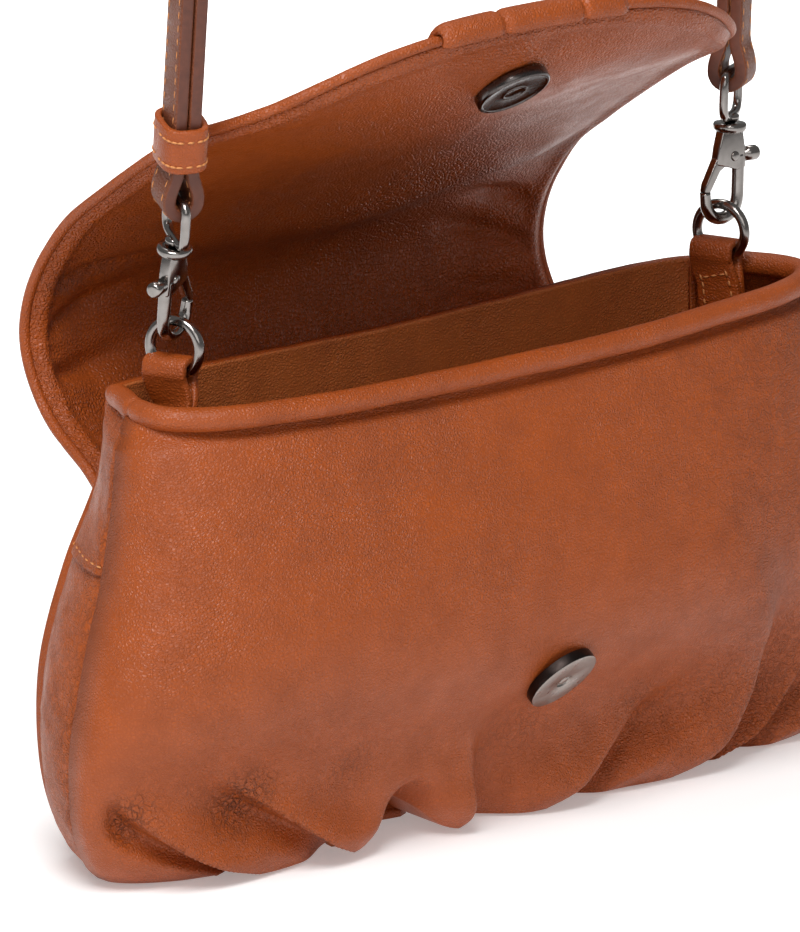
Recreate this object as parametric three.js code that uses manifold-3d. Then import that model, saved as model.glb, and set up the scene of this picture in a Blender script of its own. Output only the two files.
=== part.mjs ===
import * as THREE from 'three';
import { mergeVertices } from 'three/addons/utils/BufferGeometryUtils.js';
import Module from 'manifold-3d';

// A small leather crossbody bag standing with its flap open, millimetres, +Z up, front towards -Y.
// The origin is the middle of the flat base, where the bag rests.

// driving sizes
const leather = 2.0;
const seamGap = 0.9;
const footGap = 1.1;
const backSeamGap = 0.7;
const seat = 0.35;
const frontRound = 3.0;
const footRound = 2.6;
const backRound = 3.4;
const rollRadius = 2.7;
const rollHeight = 107.65;
const rollReach = 0.84;
const rollStand = -1.4;
const rollSet = { x: 0.987, y: 1.2 };
const baseThick = 2.4;
const baseInset = 2.7;
const baseCorner = 3;
const wallFoot = 0.6;
const flapThick = 2.4;
const pipingRadius = 1.3;
const bandHalf = 27;
const bandThick = 1.4;
const pipingSlack = 0.15;
const strapWide = 10;
const strapThick = 3;
const plySpread = 1.65;
const turnRadius = 3.3;
const tailLength = 110;
const tabWide = 9.0;
const tabThick = 2.0;
const tabLeg = 3.2;
const tabInset = 3.7;
const tabLevels = [82, 90, 95.5];
const tabRim = 97;
const ringRadius = 6.4;
const ringWire = 1.25;
const ringPlay = 0.8;
const eyeWire = 1.1;
const eyeHalf = 6.6;
const eyeFoot = 3.3;
const eyeTop = 14.4;
const collarRadius = 3.7;
const collarHigh = 1.9;
const hookThick = 2.8;
const hookMid = { x: -1.8, z: -16.0 };
const hookRadius = 6.4;
const hookHole = 3.6;
const slotThick = 1.5;
const leverThick = 1.1;
const pivot = { x: 0.8, z: -6.2 };
const snapRadius = 9;
const snapHeight = 35.7;
const frontSnapThick = 2.2;
const flapSnapThick = 1.8;

// front panel, rim to base: height, half width at the side seam, depth at the seam and at the middle
const frontRows = [
  { z: 104.6, half: 103.5, seamY: 8.5, midY: -16.0 },
  { z: 96.0, half: 105.0, seamY: 7.5, midY: -19.0 },
  { z: 86.0, half: 107.0, seamY: 6.5, midY: -22.5 },
  { z: 70.0, half: 111.0, seamY: 5.5, midY: -27.5 },
  { z: 56.0, half: 116.0, seamY: 4.5, midY: -30.0 },
  { z: 45.0, half: 119.0, seamY: 4.0, midY: -29.0 },
  { z: 36.0, half: 121.0, seamY: 4.0, midY: -24.7 },
  { z: 27.0, half: 121.5, seamY: 4.0, midY: -19.2 },
  { z: 16.0, half: 120.0, seamY: 5.0, midY: -17.2 },
  { z: 6.0, half: 115.0, seamY: 7.0, midY: -16.8 },
  { z: 0.6, half: 108.5, seamY: 10.0, midY: -11.5 },
];

// gathers of the front panel: where each tuck meets the base, where it ends, how far it bends aside
// on the way, how high it ends, how deep it is drawn in and how wide it is to the left and the right
const tucks = [
  { foot: -84, head: -120, bend: -6, top: 31, depth: 7.0, left: 9, right: 4 },
  { foot: -59, head: -91, bend: 0, top: 30, depth: 7.5, left: 10, right: 4 },
  { foot: -37, head: -37, bend: 0, top: 18, depth: 10.0, left: 5, right: 5 },
  { foot: -19, head: -15, bend: 0, top: 33, depth: 6.5, left: 4, right: 10 },
  { foot: 8, head: 40, bend: 0, top: 28, depth: 7.5, left: 4, right: 10 },
  { foot: 46, head: 63, bend: 18, top: 70, depth: 8.0, left: 4, right: 12 },
  { foot: 63, head: 104, bend: 9, top: 54, depth: 7.5, left: 4, right: 10 },
];

// back panel, rim to base
const backRows = [
  { z: 107.6, half: 94.0, seamY: 27.0, midY: 34.5 },
  { z: 88.0, half: 95.0, seamY: 27.5, midY: 37 },
  { z: 68.0, half: 101.5, seamY: 28.5, midY: 39 },
  { z: 46.0, half: 107.0, seamY: 29.0, midY: 41 },
  { z: 24.0, half: 107.5, seamY: 29.0, midY: 40 },
  { z: 8.0, half: 104.0, seamY: 28.0, midY: 36 },
  { z: 0.6, half: 98.0, seamY: 25.0, midY: 31 },
];

// side gussets: how far the strip bows out between the two side seams
const gussetRows = [
  { z: 104.6, bow: 0.0 },
  { z: 88.0, bow: 0.3 },
  { z: 76.0, bow: 0.8 },
  { z: 66.0, bow: 2.4 },
  { z: 50.0, bow: 3.2 },
  { z: 26.0, bow: 3.0 },
  { z: 8.0, bow: 1.5 },
  { z: 0.6, bow: 0.0 },
];
const gussetTop = 104.6;
const overlayFoot = 72;
const underTop = 78;
const overlayStand = 0.9;
const overlayThick = 1.5;
const underStand = -1.35;

// the right end of the mouth is pulled up by the strap
const rimLift = 4;
const liftFrom = -20;
const liftTo = 100;

// flap, from its seam on the back to the tip: inner face at the middle and at the side edges
const flapRows = [
  { y: 40.2, z: 62.0, edgeY: 38.9, edgeZ: 63.0, half: 77.0 },
  { y: 39.9, z: 71.0, edgeY: 38.6, edgeZ: 73.0, half: 77.0 },
  { y: 48.0, z: 79.5, edgeY: 48.0, edgeZ: 83.5, half: 77.5 },
  { y: 62.0, z: 90.5, edgeY: 62.5, edgeZ: 93.5, half: 77.5 },
  { y: 70.0, z: 104.5, edgeY: 70.5, edgeZ: 107.0, half: 77.5 },
  { y: 67.5, z: 119.0, edgeY: 68.5, edgeZ: 121.0, half: 77.5 },
  { y: 56.5, z: 133.0, edgeY: 57.0, edgeZ: 136.5, half: 77.5 },
  { y: 39.5, z: 144.5, edgeY: 40.0, edgeZ: 148.5, half: 78.0 },
  { y: 17.0, z: 156.5, edgeY: 18.0, edgeZ: 162.0, half: 77.8 },
  { y: -6.8, z: 170.5, edgeY: -5.0, edgeZ: 173.0, half: 76.8 },
  { y: -22.0, z: 187.5, edgeY: -22.0, edgeZ: 187.5, half: 76.0 },
];
const flapEars = 0.811;
const flapTipRound = 2.1;
const snapAlong = 0.9;
const bandFrom = 0.595;
const bandMid = -7;

// the two ends of the strap: foot of the swivel, how far it leans per unit of height,
// and the turns of hook, strap and ring about the upright
const ends = [
  {
    side: 'left', sign: -1, x: -85.0, y: 9.8, z: 141.6, leanX: -0.106, leanY: -0.219,
    hookTurn: -160, strapTurn: -21, ringTurn: 20,
  },
  {
    side: 'right', sign: 1, x: 88.9, y: 17.0, z: 143.9, leanX: 0.04, leanY: 0,
    hookTurn: 0, strapTurn: -57, ringTurn: 18,
  },
];
const archFoot = 545;

const wasm = await Module();
wasm.setup();

const degree = Math.PI / 180;
const up = new THREE.Vector3(0, 0, 1);

const tan = { color: 0xb4623a, roughness: 0.5, metalness: 0 };
const tanDark = { color: 0x8a4a2c, roughness: 0.55, metalness: 0 };
const blackNickel = { color: 0x3a3634, roughness: 0.22, metalness: 1 };
const paleNickel = { color: 0x8f8680, roughness: 0.28, metalness: 1 };

const bag = new THREE.Group();

function place(name, geometry, look, parent = bag) {
  const mesh = new THREE.Mesh(geometry, new THREE.MeshStandardMaterial(look));
  mesh.name = name;
  parent.add(mesh);
  return mesh;
}

// one smooth curve for a named column of a table, read at t from 0 (first row) to 1 (last row)
function column(rows, name) {
  const curve = new THREE.SplineCurve(rows.map((row, i) => new THREE.Vector2(i, row[name])));
  return (t) => curve.getPoint(Math.min(Math.max(t, 0), 1)).y;
}

function columns(rows) {
  const table = {};
  for (const name of Object.keys(rows[0])) {
    table[name] = column(rows, name);
  }
  return table;
}

// the t at which a falling height column reaches z
function tAtHeight(height, z) {
  let low = 0;
  let high = 1;
  for (let i = 0; i < 40; i++) {
    const mid = (low + high) / 2;
    if (height(mid) > z) {
      low = mid;
    } else {
      high = mid;
    }
  }
  return (low + high) / 2;
}

function gridGeometry(points, triangles) {
  const geometry = new THREE.BufferGeometry();
  const flat = points.flatMap((p) => [p.x, p.y, p.z]);
  geometry.setAttribute('position', new THREE.Float32BufferAttribute(flat, 3));
  geometry.setIndex(triangles);
  return geometry;
}

// a wall of leather: a grid of points on its shown face, thickened away from the outward side
function sheet(grid, thick, outward) {
  const rows = grid.length;
  const cols = grid[0].length;
  const shown = grid.flat();
  const hidden = [];
  for (let r = 0; r < rows; r++) {
    for (let c = 0; c < cols; c++) {
      const across = grid[r][Math.min(c + 1, cols - 1)].clone().sub(grid[r][Math.max(c - 1, 0)]);
      const along = grid[Math.min(r + 1, rows - 1)][c].clone().sub(grid[Math.max(r - 1, 0)][c]);
      const normal = across.cross(along).normalize().multiplyScalar(outward);
      hidden.push(grid[r][c].clone().addScaledVector(normal, -thick));
    }
  }
  const count = rows * cols;
  const triangles = [];
  const quad = (a, b, c, d) => {
    if (outward > 0) {
      triangles.push(a, b, c, a, c, d);
    } else {
      triangles.push(a, c, b, a, d, c);
    }
  };
  for (let r = 0; r < rows - 1; r++) {
    for (let c = 0; c < cols - 1; c++) {
      const a = r * cols + c;
      quad(a, a + 1, a + cols + 1, a + cols);
      quad(count + a, count + a + cols, count + a + cols + 1, count + a + 1);
    }
  }
  for (let c = 0; c < cols - 1; c++) {
    const last = (rows - 1) * cols + c;
    quad(c + 1, c, count + c, count + c + 1);
    quad(last, last + 1, count + last + 1, count + last);
  }
  for (let r = 0; r < rows - 1; r++) {
    const first = r * cols;
    const end = first + cols - 1;
    quad(first, first + cols, count + first + cols, count + first);
    quad(end + cols, end, count + end, count + end + cols);
  }
  return gridGeometry(shown.concat(hidden), triangles);
}

// a closed loop of rings of points, or an open one with flat ends
function sweep(rings, closed) {
  const sides = rings[0].length;
  const count = rings.length;
  const triangles = [];
  const spans = closed ? count : count - 1;
  for (let i = 0; i < spans; i++) {
    const here = i * sides;
    const next = ((i + 1) % count) * sides;
    for (let k = 0; k < sides; k++) {
      const j = (k + 1) % sides;
      triangles.push(here + k, here + j, next + j, here + k, next + j, next + k);
    }
  }
  if (!closed) {
    const last = (count - 1) * sides;
    for (let k = 1; k < sides - 1; k++) {
      triangles.push(0, k + 1, k, last, last + k, last + k + 1);
    }
  }
  return gridGeometry(rings.flat(), triangles);
}

// round wire or piping along a list of points
function wire(path, radius, sides, closed) {
  const count = path.length;
  let side = new THREE.Vector3(0.31, 0.52, 0.79);
  const rings = path.map((point, i) => {
    const before = path[closed ? (i + count - 1) % count : Math.max(i - 1, 0)];
    const after = path[closed ? (i + 1) % count : Math.min(i + 1, count - 1)];
    const ahead = after.clone().sub(before).normalize();
    side = side.clone().addScaledVector(ahead, -side.dot(ahead)).normalize();
    const other = ahead.clone().cross(side);
    const ring = [];
    for (let k = 0; k < sides; k++) {
      const turn = (k / sides) * 2 * Math.PI;
      ring.push(point.clone()
        .addScaledVector(side, Math.cos(turn) * radius)
        .addScaledVector(other, Math.sin(turn) * radius));
    }
    return ring;
  });
  return sweep(rings, closed);
}

function solid(geometry) {
  const bare = geometry.index ? geometry.clone() : geometry;
  bare.deleteAttribute('normal');
  bare.deleteAttribute('uv');
  const merged = mergeVertices(bare, 1e-3);
  return new wasm.Manifold(new wasm.Mesh({
    numProp: 3,
    vertProperties: new Float32Array(merged.attributes.position.array),
    triVerts: new Uint32Array(merged.index.array),
  }));
}

function geometryOf(body) {
  const mesh = body.getMesh();
  const geometry = new THREE.BufferGeometry();
  geometry.setAttribute('position', new THREE.Float32BufferAttribute(mesh.vertProperties, 3));
  geometry.setIndex(Array.from(mesh.triVerts));
  return geometry;
}

function box(x0, x1, y0, y1, z0, z1) {
  const geometry = new THREE.BoxGeometry(x1 - x0, y1 - y0, z1 - z0);
  geometry.translate((x0 + x1) / 2, (y0 + y1) / 2, (z0 + z1) / 2);
  return geometry;
}

// an outline drawn in X and Z, given its thickness along Y about the middle
function plate(shape, thick, curveSegments) {
  const geometry = new THREE.ExtrudeGeometry(shape, { depth: thick, bevelEnabled: false, curveSegments });
  geometry.rotateX(Math.PI / 2);
  geometry.translate(0, thick / 2, 0);
  return geometry;
}

// even steps that crowd towards both ends
function crowded(i, steps) {
  const s = (2 * i) / steps - 1;
  return 0.55 * s + 0.45 * Math.sin((s * Math.PI) / 2);
}

// how far a place near the rim is pulled up
function raised(x, z) {
  return rimLift * THREE.MathUtils.smoothstep(x, liftFrom, liftTo) * THREE.MathUtils.smoothstep(z, 60, 104);
}

// front panel
const front = columns(frontRows);

function drawIn(x, z) {
  let pull = 0;
  for (const tuck of tucks) {
    const rise = z / tuck.top;
    if (rise < 1) {
      const line = tuck.foot + (tuck.head - tuck.foot) * rise + tuck.bend * Math.sin(Math.PI * rise);
      const off = x - line;
      const wide = off < 0 ? tuck.left : tuck.right;
      const fade = (1 - rise) * (1 - rise) * (1 + 2 * rise);
      pull = Math.max(pull, tuck.depth * fade * Math.exp(-((off / wide) ** 2)));
    }
  }
  return pull;
}

function frontPoint(u, t) {
  const half = front.half(t);
  const seam = front.seamY(t);
  const mid = front.midY(t);
  const z = front.z(t);
  const power = THREE.MathUtils.lerp(footRound, frontRound, THREE.MathUtils.smoothstep(z, 6, 34));
  const round = Math.pow(Math.max(1 - Math.pow(Math.abs(u), power), 0), 1 / power);
  const x = half * u;
  const pull = drawIn(x, z) * Math.min(1, 4 * (1 - Math.abs(u)));
  return new THREE.Vector3(x, seam + (mid - seam) * round + pull, z + 0.5 * pull + raised(x, z));
}

const frontCols = 46;
const frontSteps = [0, 0.1, 0.2, 0.3, 0.4, 0.5, 0.6, 0.68, 0.76, 0.83, 0.895, 0.95, 1];
const frontGrid = frontSteps.map((t) => {
  const row = [];
  for (let i = 0; i <= frontCols; i++) {
    row.push(frontPoint(crowded(i, frontCols), t));
  }
  return row;
});
place('front_panel', sheet(frontGrid, leather, -1), tan);

// back panel
const back = columns(backRows);

function backPoint(u, t) {
  const half = back.half(t);
  const seam = back.seamY(t);
  const round = Math.pow(Math.max(1 - Math.pow(Math.abs(u), backRound), 0), 1 / backRound);
  const z = back.z(t);
  return new THREE.Vector3(half * u, seam + (back.midY(t) - seam) * round, z + raised(half * u, z));
}

const backCols = 24;
const backGrid = [];
for (let r = 0; r <= 9; r++) {
  const row = [];
  for (let i = 0; i <= backCols; i++) {
    row.push(backPoint(crowded(i, backCols), r / 9));
  }
  backGrid.push(row);
}
place('back_panel', sheet(backGrid, leather, 1), tan);

// side gussets: an upper piece lapped over a lower one on each end
const gusset = columns(gussetRows);

function gussetPoint(sign, s, z, stand) {
  const tf = tAtHeight(front.z, z);
  const tb = tAtHeight(back.z, z);
  const gap = seamGap + footGap * (1 - THREE.MathUtils.smoothstep(z, 10, 26));
  const near = new THREE.Vector3(sign * front.half(tf), front.seamY(tf) + gap, z);
  const far = new THREE.Vector3(sign * back.half(tb), back.seamY(tb) - gap - backSeamGap, z);
  const point = near.lerp(far, s);
  const bow = gusset.bow(tAtHeight(gusset.z, z)) * Math.sin(Math.PI * s);
  point.x += sign * (bow + stand);
  point.z += raised(point.x, z);
  return point;
}

// the strip shares its levels with the front panel, so that the seam between them stays even
function gussetGeometry(sign, top, bottom, stand, thick) {
  const between = frontSteps.map((t) => front.z(t)).filter((z) => z < top - 2 && z > bottom + 2);
  const grid = [top, ...between, bottom].map((z) => {
    const row = [];
    for (let c = 0; c <= 6; c++) {
      row.push(gussetPoint(sign, c / 6, z, stand));
    }
    return row;
  });
  return sheet(grid, thick, sign > 0 ? -1 : 1);
}

for (const [side, sign] of [['left', -1], ['right', 1]]) {
  place(`${side}_gusset_top`, gussetGeometry(sign, gussetTop, overlayFoot, overlayStand, overlayThick), tan);
  place(`${side}_gusset`, gussetGeometry(sign, underTop, wallFoot, underStand, leather), tan);
}

// flat base, inset from the foot of the walls
const baseOutline = new THREE.Shape();
const footPoints = [];
for (let i = 1; i < 30; i++) {
  const u = crowded(i, 30);
  const point = frontPoint(u, 1);
  const depth = Math.max(point.y, front.midY(1)) + baseInset;
  footPoints.push(new THREE.Vector2(u * (front.half(1) - baseInset - baseCorner), depth));
}
for (let i = 19; i > 0; i--) {
  const u = crowded(i, 20);
  const point = backPoint(u, 1);
  footPoints.push(new THREE.Vector2(u * (back.half(1) - baseInset), point.y - baseInset));
}
baseOutline.setFromPoints(footPoints);
place('base', new THREE.ExtrudeGeometry(baseOutline, { depth: baseThick, bevelEnabled: false }), tan);

// padded roll round the front and the ends of the mouth
const rollPath = [];
const rollRise = rollHeight - gussetTop;
for (let c = 0; c < 6; c++) {
  const point = gussetPoint(-1, rollReach * (1 - c / 6), gussetTop, rollStand);
  rollPath.push(new THREE.Vector3(point.x, point.y, point.z + rollRise));
}
for (let i = 1; i < 40; i++) {
  const point = frontPoint(crowded(i, 40), 0);
  rollPath.push(new THREE.Vector3(point.x * rollSet.x, point.y + rollSet.y, point.z + rollRise));
}
for (let c = 1; c <= 6; c++) {
  const point = gussetPoint(1, rollReach * (c / 6), gussetTop, rollStand);
  rollPath.push(new THREE.Vector3(point.x, point.y, point.z + rollRise));
}
const rollCurve = new THREE.CatmullRomCurve3(rollPath);
place('rim_roll', wire(rollCurve.getSpacedPoints(44), rollRadius, 7, false), tan);

// flap: its inner face as a grid from the seam on the back to the rounded tip
const flap = columns(flapRows);

function flapPoint(u, along) {
  const lift = Math.pow(Math.abs(u), 2.2);
  const y = flap.y(along) + (flap.edgeY(along) - flap.y(along)) * lift;
  const z = flap.z(along) + (flap.edgeZ(along) - flap.z(along)) * lift;
  return new THREE.Vector3(flap.half(along) * u, y, z);
}

function flapEnd(u) {
  const round = Math.pow(Math.max(1 - Math.pow(Math.abs(u), flapTipRound), 0), 1 / flapTipRound);
  return flapEars + (1 - flapEars) * round;
}

const flapCols = 22;
const flapLines = 19;
const flapGrid = [];
for (let r = 0; r <= flapLines; r++) {
  const row = [];
  for (let i = 0; i <= flapCols; i++) {
    const u = crowded(i, flapCols);
    row.push(flapPoint(u, flapEnd(u) * (r / flapLines)));
  }
  flapGrid.push(row);
}
place('flap', sheet(flapGrid, flapThick, 1), tanDark);

// the outward side of the flap at a place on it, and the direction across its edge
function flapFrame(u, along) {
  const d = 0.004;
  const across = flapPoint(u + d, along).sub(flapPoint(u - d, along)).normalize();
  const ahead = flapPoint(u, Math.min(along + d, 1)).sub(flapPoint(u, along - d)).normalize();
  const outward = ahead.clone().cross(across).normalize();
  return { across, ahead, outward };
}

// piping round the free edge of the flap
const edgePoints = [];
for (let r = 4; r < flapLines; r++) {
  edgePoints.push([-1, flapEnd(1) * (r / flapLines)]);
}
for (let i = 0; i <= 36; i++) {
  const u = crowded(i, 36);
  edgePoints.push([u, flapEnd(u)]);
}
for (let r = flapLines - 1; r >= 4; r--) {
  edgePoints.push([1, flapEnd(1) * (r / flapLines)]);
}
const edgeMiddle = edgePoints.map(([u, along]) => {
  const frame = flapFrame(u, along);
  return flapPoint(u, along).addScaledVector(frame.outward, flapThick * 0.5);
});
const pipingPath = edgeMiddle.map((point, i) => {
  const [u, along] = edgePoints[i];
  const frame = flapFrame(u, along);
  const before = edgeMiddle[Math.max(i - 1, 0)];
  const after = edgeMiddle[Math.min(i + 1, edgeMiddle.length - 1)];
  const out = after.clone().sub(before).cross(frame.outward).normalize();
  return point.clone().addScaledVector(out, pipingRadius + seat + pipingSlack);
});
const pipingCurve = new THREE.CatmullRomCurve3(pipingPath);
place('flap_piping', wire(pipingCurve.getSpacedPoints(46), pipingRadius, 6, false), tan);

// band folded over the tip of the flap, from its outer face round the piping
const bandCols = 8;
const bandRun = 7;
const bandCurl = 7;
const bandStand = flapThick + seat + bandThick;
const curlRadius = pipingRadius + seat + bandThick;
const bandGrid = [];
for (let r = 0; r <= bandRun + bandCurl; r++) {
  const row = [];
  for (let c = 0; c <= bandCols; c++) {
    const x = bandMid + bandHalf * ((2 * c) / bandCols - 1);
    const u = x / flap.half(1);
    const end = flapEnd(u);
    const along = bandFrom + (end - bandFrom) * Math.min(r / bandRun, 1);
    const frame = flapFrame(u, along);
    if (r < bandRun) {
      row.push(flapPoint(u, along).addScaledVector(frame.outward, bandStand));
    } else {
      const turn = (90 - 24 * (r - bandRun)) * degree;
      row.push(flapPoint(u, along)
        .addScaledVector(frame.outward, flapThick / 2 + curlRadius * Math.sin(turn))
        .addScaledVector(frame.ahead, pipingRadius + seat + pipingSlack + curlRadius * Math.cos(turn)));
    }
  }
  bandGrid.push(row);
}
place('flap_band', sheet(bandGrid, bandThick, -1), tan);

// the two halves of the magnetic snap, discs seated on the panel and on the flap
function disc(name, centre, normal, radius, thick, look) {
  const profile = [
    new THREE.Vector2(0, 0),
    new THREE.Vector2(radius, 0),
    new THREE.Vector2(radius, thick * 0.6),
    new THREE.Vector2(radius - 0.8, thick),
    new THREE.Vector2(1.6, thick),
    new THREE.Vector2(1.3, thick - 0.7),
    new THREE.Vector2(0, thick - 0.7),
  ];
  const mesh = place(name, new THREE.LatheGeometry(profile, 18), look);
  mesh.position.copy(centre).addScaledVector(normal, seat + 0.1);
  mesh.quaternion.setFromUnitVectors(new THREE.Vector3(0, 1, 0), normal);
}

const snapLevel = tAtHeight(front.z, snapHeight);
const snapFoot = frontPoint(0, snapLevel);
const slope = frontPoint(0, snapLevel + 0.02).sub(frontPoint(0, snapLevel - 0.02));
const snapNormal = new THREE.Vector3(0, slope.z, -slope.y).normalize();
disc('front_snap', snapFoot, snapNormal, snapRadius, frontSnapThick, paleNickel);
const snapFrame = flapFrame(0, snapAlong);
const snapInward = snapFrame.outward.clone().negate();
disc('flap_snap', flapPoint(0, snapAlong), snapInward, snapRadius, flapSnapThick, blackNickel);

// strap hardware: swivel eye, hook and trigger drawn about the foot of the swivel
function eyeGeometry() {
  const path = [];
  const middle = (eyeFoot + eyeTop) / 2;
  const tall = (eyeTop - eyeFoot) / 2;
  for (let i = 0; i < 20; i++) {
    const turn = (i / 20) * 2 * Math.PI;
    const c = Math.cos(turn);
    const n = Math.sin(turn);
    const y = eyeHalf * Math.sign(c) * Math.pow(Math.abs(c), 0.45);
    const z = middle + tall * Math.sign(n) * Math.pow(Math.abs(n), 0.45);
    path.push(new THREE.Vector3(0, y, z));
  }
  const loop = solid(wire(path, eyeWire, 6, true));
  const stem = new THREE.CylinderGeometry(1.2, 1.2, eyeFoot - 0.6, 12);
  stem.rotateX(Math.PI / 2);
  stem.translate(0, 0, eyeFoot / 2 + 0.3);
  return geometryOf(loop.add(solid(stem)));
}

function rod(radius, length, x, z, sides = 10) {
  const geometry = new THREE.CylinderGeometry(radius, radius, length, sides);
  geometry.translate(x, 0, z);
  return geometry;
}

function hookGeometry() {
  const outline = new THREE.Shape();
  outline.moveTo(-3.0, 0.4);
  outline.lineTo(hookMid.x - hookRadius, hookMid.z + 2.5);
  outline.absarc(hookMid.x, hookMid.z, hookRadius, Math.PI, 2 * Math.PI, false);
  outline.lineTo(hookMid.x + hookRadius, -8);
  outline.lineTo(3.2, 0.4);
  outline.closePath();
  const opening = new THREE.Path();
  opening.moveTo(hookMid.x - 1.4, -9.4);
  opening.lineTo(hookMid.x - hookHole, -12);
  opening.absarc(hookMid.x, hookMid.z, hookHole, Math.PI, 2 * Math.PI, false);
  opening.lineTo(hookMid.x + hookHole, -9.4);
  opening.closePath();
  outline.holes.push(opening);
  const collar = new THREE.CylinderGeometry(collarRadius, collarRadius, collarHigh, 16);
  collar.rotateX(Math.PI / 2);
  collar.translate(0, 0, collarHigh / 2);
  const socket = new THREE.CylinderGeometry(1.55, 1.55, collarHigh, 12);
  socket.rotateX(Math.PI / 2);
  socket.translate(0, 0, collarHigh / 2 + 0.3);
  return geometryOf(solid(plate(outline, hookThick, 7))
    .add(solid(collar))
    .subtract(solid(socket))
    .subtract(solid(box(-12, 12, -slotThick / 2, slotThick / 2, -9.6, -3.0)))
    .subtract(solid(box(-12, hookMid.x - 1.3, -4, 4, -12.4, -8.4)))
    .subtract(solid(rod(1.1, 8, pivot.x, pivot.z))));
}

function triggerGeometry() {
  const arm = new THREE.Shape();
  arm.moveTo(pivot.x, pivot.z + 1.9);
  arm.lineTo(-3.6, pivot.z + 0.9);
  arm.lineTo(-5.1, pivot.z - 0.6);
  arm.lineTo(-4.9, -14.8);
  arm.lineTo(-3.1, -14.8);
  arm.lineTo(-2.7, -9.2);
  arm.lineTo(pivot.x, pivot.z - 1.9);
  arm.lineTo(2.6, pivot.z - 0.8);
  arm.lineTo(6.6, pivot.z - 0.8);
  arm.lineTo(6.6, pivot.z + 0.8);
  arm.lineTo(2.6, pivot.z + 0.9);
  arm.closePath();
  const knob = new THREE.SphereGeometry(1.75, 8, 6);
  knob.translate(7.1, 0, pivot.z);
  return geometryOf(solid(plate(arm, leverThick, 4))
    .add(solid(rod(0.8, hookThick, pivot.x, pivot.z, 8)))
    .add(solid(knob)));
}

// leather tab: a loop for the ring on a leg that is sewn to the inside of the gusset
function tabGeometry(end, ring) {
  const half = ringWire + 0.6;
  const foot = -ringRadius - half;
  const crown = -Math.sqrt((ringRadius - ringWire) ** 2 - (tabWide / 2) ** 2) + seat;
  const outer = half + tabThick;
  const outline = new THREE.Shape();
  outline.moveTo(-outer, foot);
  outline.absarc(0, foot, outer, Math.PI, 2 * Math.PI, false);
  outline.lineTo(outer, crown - half);
  outline.absarc(0, crown - half, outer, 0, Math.PI, false);
  outline.closePath();
  const opening = new THREE.Path();
  opening.absarc(0, foot + half, half, Math.PI, 2 * Math.PI, false);
  opening.lineTo(half, crown - half);
  opening.absarc(0, crown - half, half, 0, Math.PI, false);
  opening.closePath();
  outline.holes.push(opening);
  const loop = plate(outline, tabWide, 6);
  loop.rotateZ(end.ringTurn * degree);
  loop.translate(ring.x, ring.y, ring.z);

  const low = ring.z + foot - 1.2;
  const wall = (z) => gussetPoint(end.sign, 0.5, z, -tabInset);
  const rim = wall(tabRim);
  const under = new THREE.Vector3(ring.x, ring.y, low);
  const path = [
    ...tabLevels.map(wall),
    rim.clone().lerp(under, 0.4).add(new THREE.Vector3(0, 0, 0.6)),
    rim.clone().lerp(under, 0.8).add(new THREE.Vector3(0, 0, 0.2)),
    new THREE.Vector3(ring.x, ring.y, low + 0.6),
  ];
  const wallTurn = end.sign * 28;
  const rings = path.map((point, i) => {
    const ahead = path[Math.min(i + 1, 5)].clone().sub(path[Math.max(i - 1, 0)]).normalize();
    const turn = (wallTurn + (end.ringTurn - wallTurn) * THREE.MathUtils.smoothstep(i, 2, 5)) * degree;
    const wide = new THREE.Vector3(-Math.sin(turn), Math.cos(turn), 0);
    wide.addScaledVector(ahead, -wide.dot(ahead)).normalize();
    return ribbonRing(point, ahead, wide, tabWide, tabLeg);
  });
  return geometryOf(solid(loop).add(solid(sweep(rings, false))));
}

// four corners of a flat strip that runs ahead, wide along one direction
function ribbonRing(point, ahead, wide, width, thick) {
  const face = ahead.clone().cross(wide).normalize();
  return [[-1, -1], [1, -1], [1, 1], [-1, 1]].map(([a, b]) => point.clone()
    .addScaledVector(wide, (a * width) / 2)
    .addScaledVector(face, (b * thick) / 2));
}

// a turn about the upright followed by the lean of the strap's end
function turned(end, turn) {
  const about = new THREE.Quaternion().setFromAxisAngle(up, turn * degree);
  return new THREE.Quaternion().setFromUnitVectors(up, end.rise).multiply(about);
}

for (const end of ends) {
  const swivel = new THREE.Group();
  swivel.position.set(end.x, end.y, end.z);
  end.rise = new THREE.Vector3(end.leanX, end.leanY, 1).normalize();
  swivel.quaternion.copy(turned(end, end.hookTurn));
  bag.add(swivel);
  place(`${end.side}_hook`, hookGeometry(), blackNickel, swivel);
  place(`${end.side}_trigger`, triggerGeometry(), blackNickel, swivel);
  const eye = place(`${end.side}_eye`, eyeGeometry(), blackNickel);
  eye.position.copy(swivel.position);
  eye.quaternion.copy(turned(end, end.strapTurn));
  swivel.updateMatrixWorld(true);
  eye.updateMatrixWorld(true);
  end.bar = eye.localToWorld(new THREE.Vector3(0, 0, eyeTop));

  const wireLevel = hookMid.z - hookHole + ringPlay + ringWire;
  const ring = swivel.localToWorld(new THREE.Vector3(hookMid.x, 0, wireLevel));
  ring.z -= ringRadius;
  const torus = new THREE.TorusGeometry(ringRadius, ringWire, 6, 18);
  torus.rotateY(Math.PI / 2);
  const mesh = place(`${end.side}_ring`, torus, blackNickel);
  mesh.position.copy(ring);
  mesh.rotation.z = end.ringTurn * degree;
  place(`${end.side}_tab`, tabGeometry(end, ring), tan);
}

// strap: each end turns round the bar of its eye and runs back up beside itself
function strandPoint(end, height, off) {
  const side = new THREE.Vector3(1, 0, 0).applyQuaternion(turned(end, end.strapTurn));
  return end.bar.clone().addScaledVector(end.rise, height).addScaledVector(side, off);
}

function plyOffset(height) {
  return plySpread + (turnRadius - plySpread) * (1 - THREE.MathUtils.smoothstep(height, 0.5, 8));
}

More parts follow.
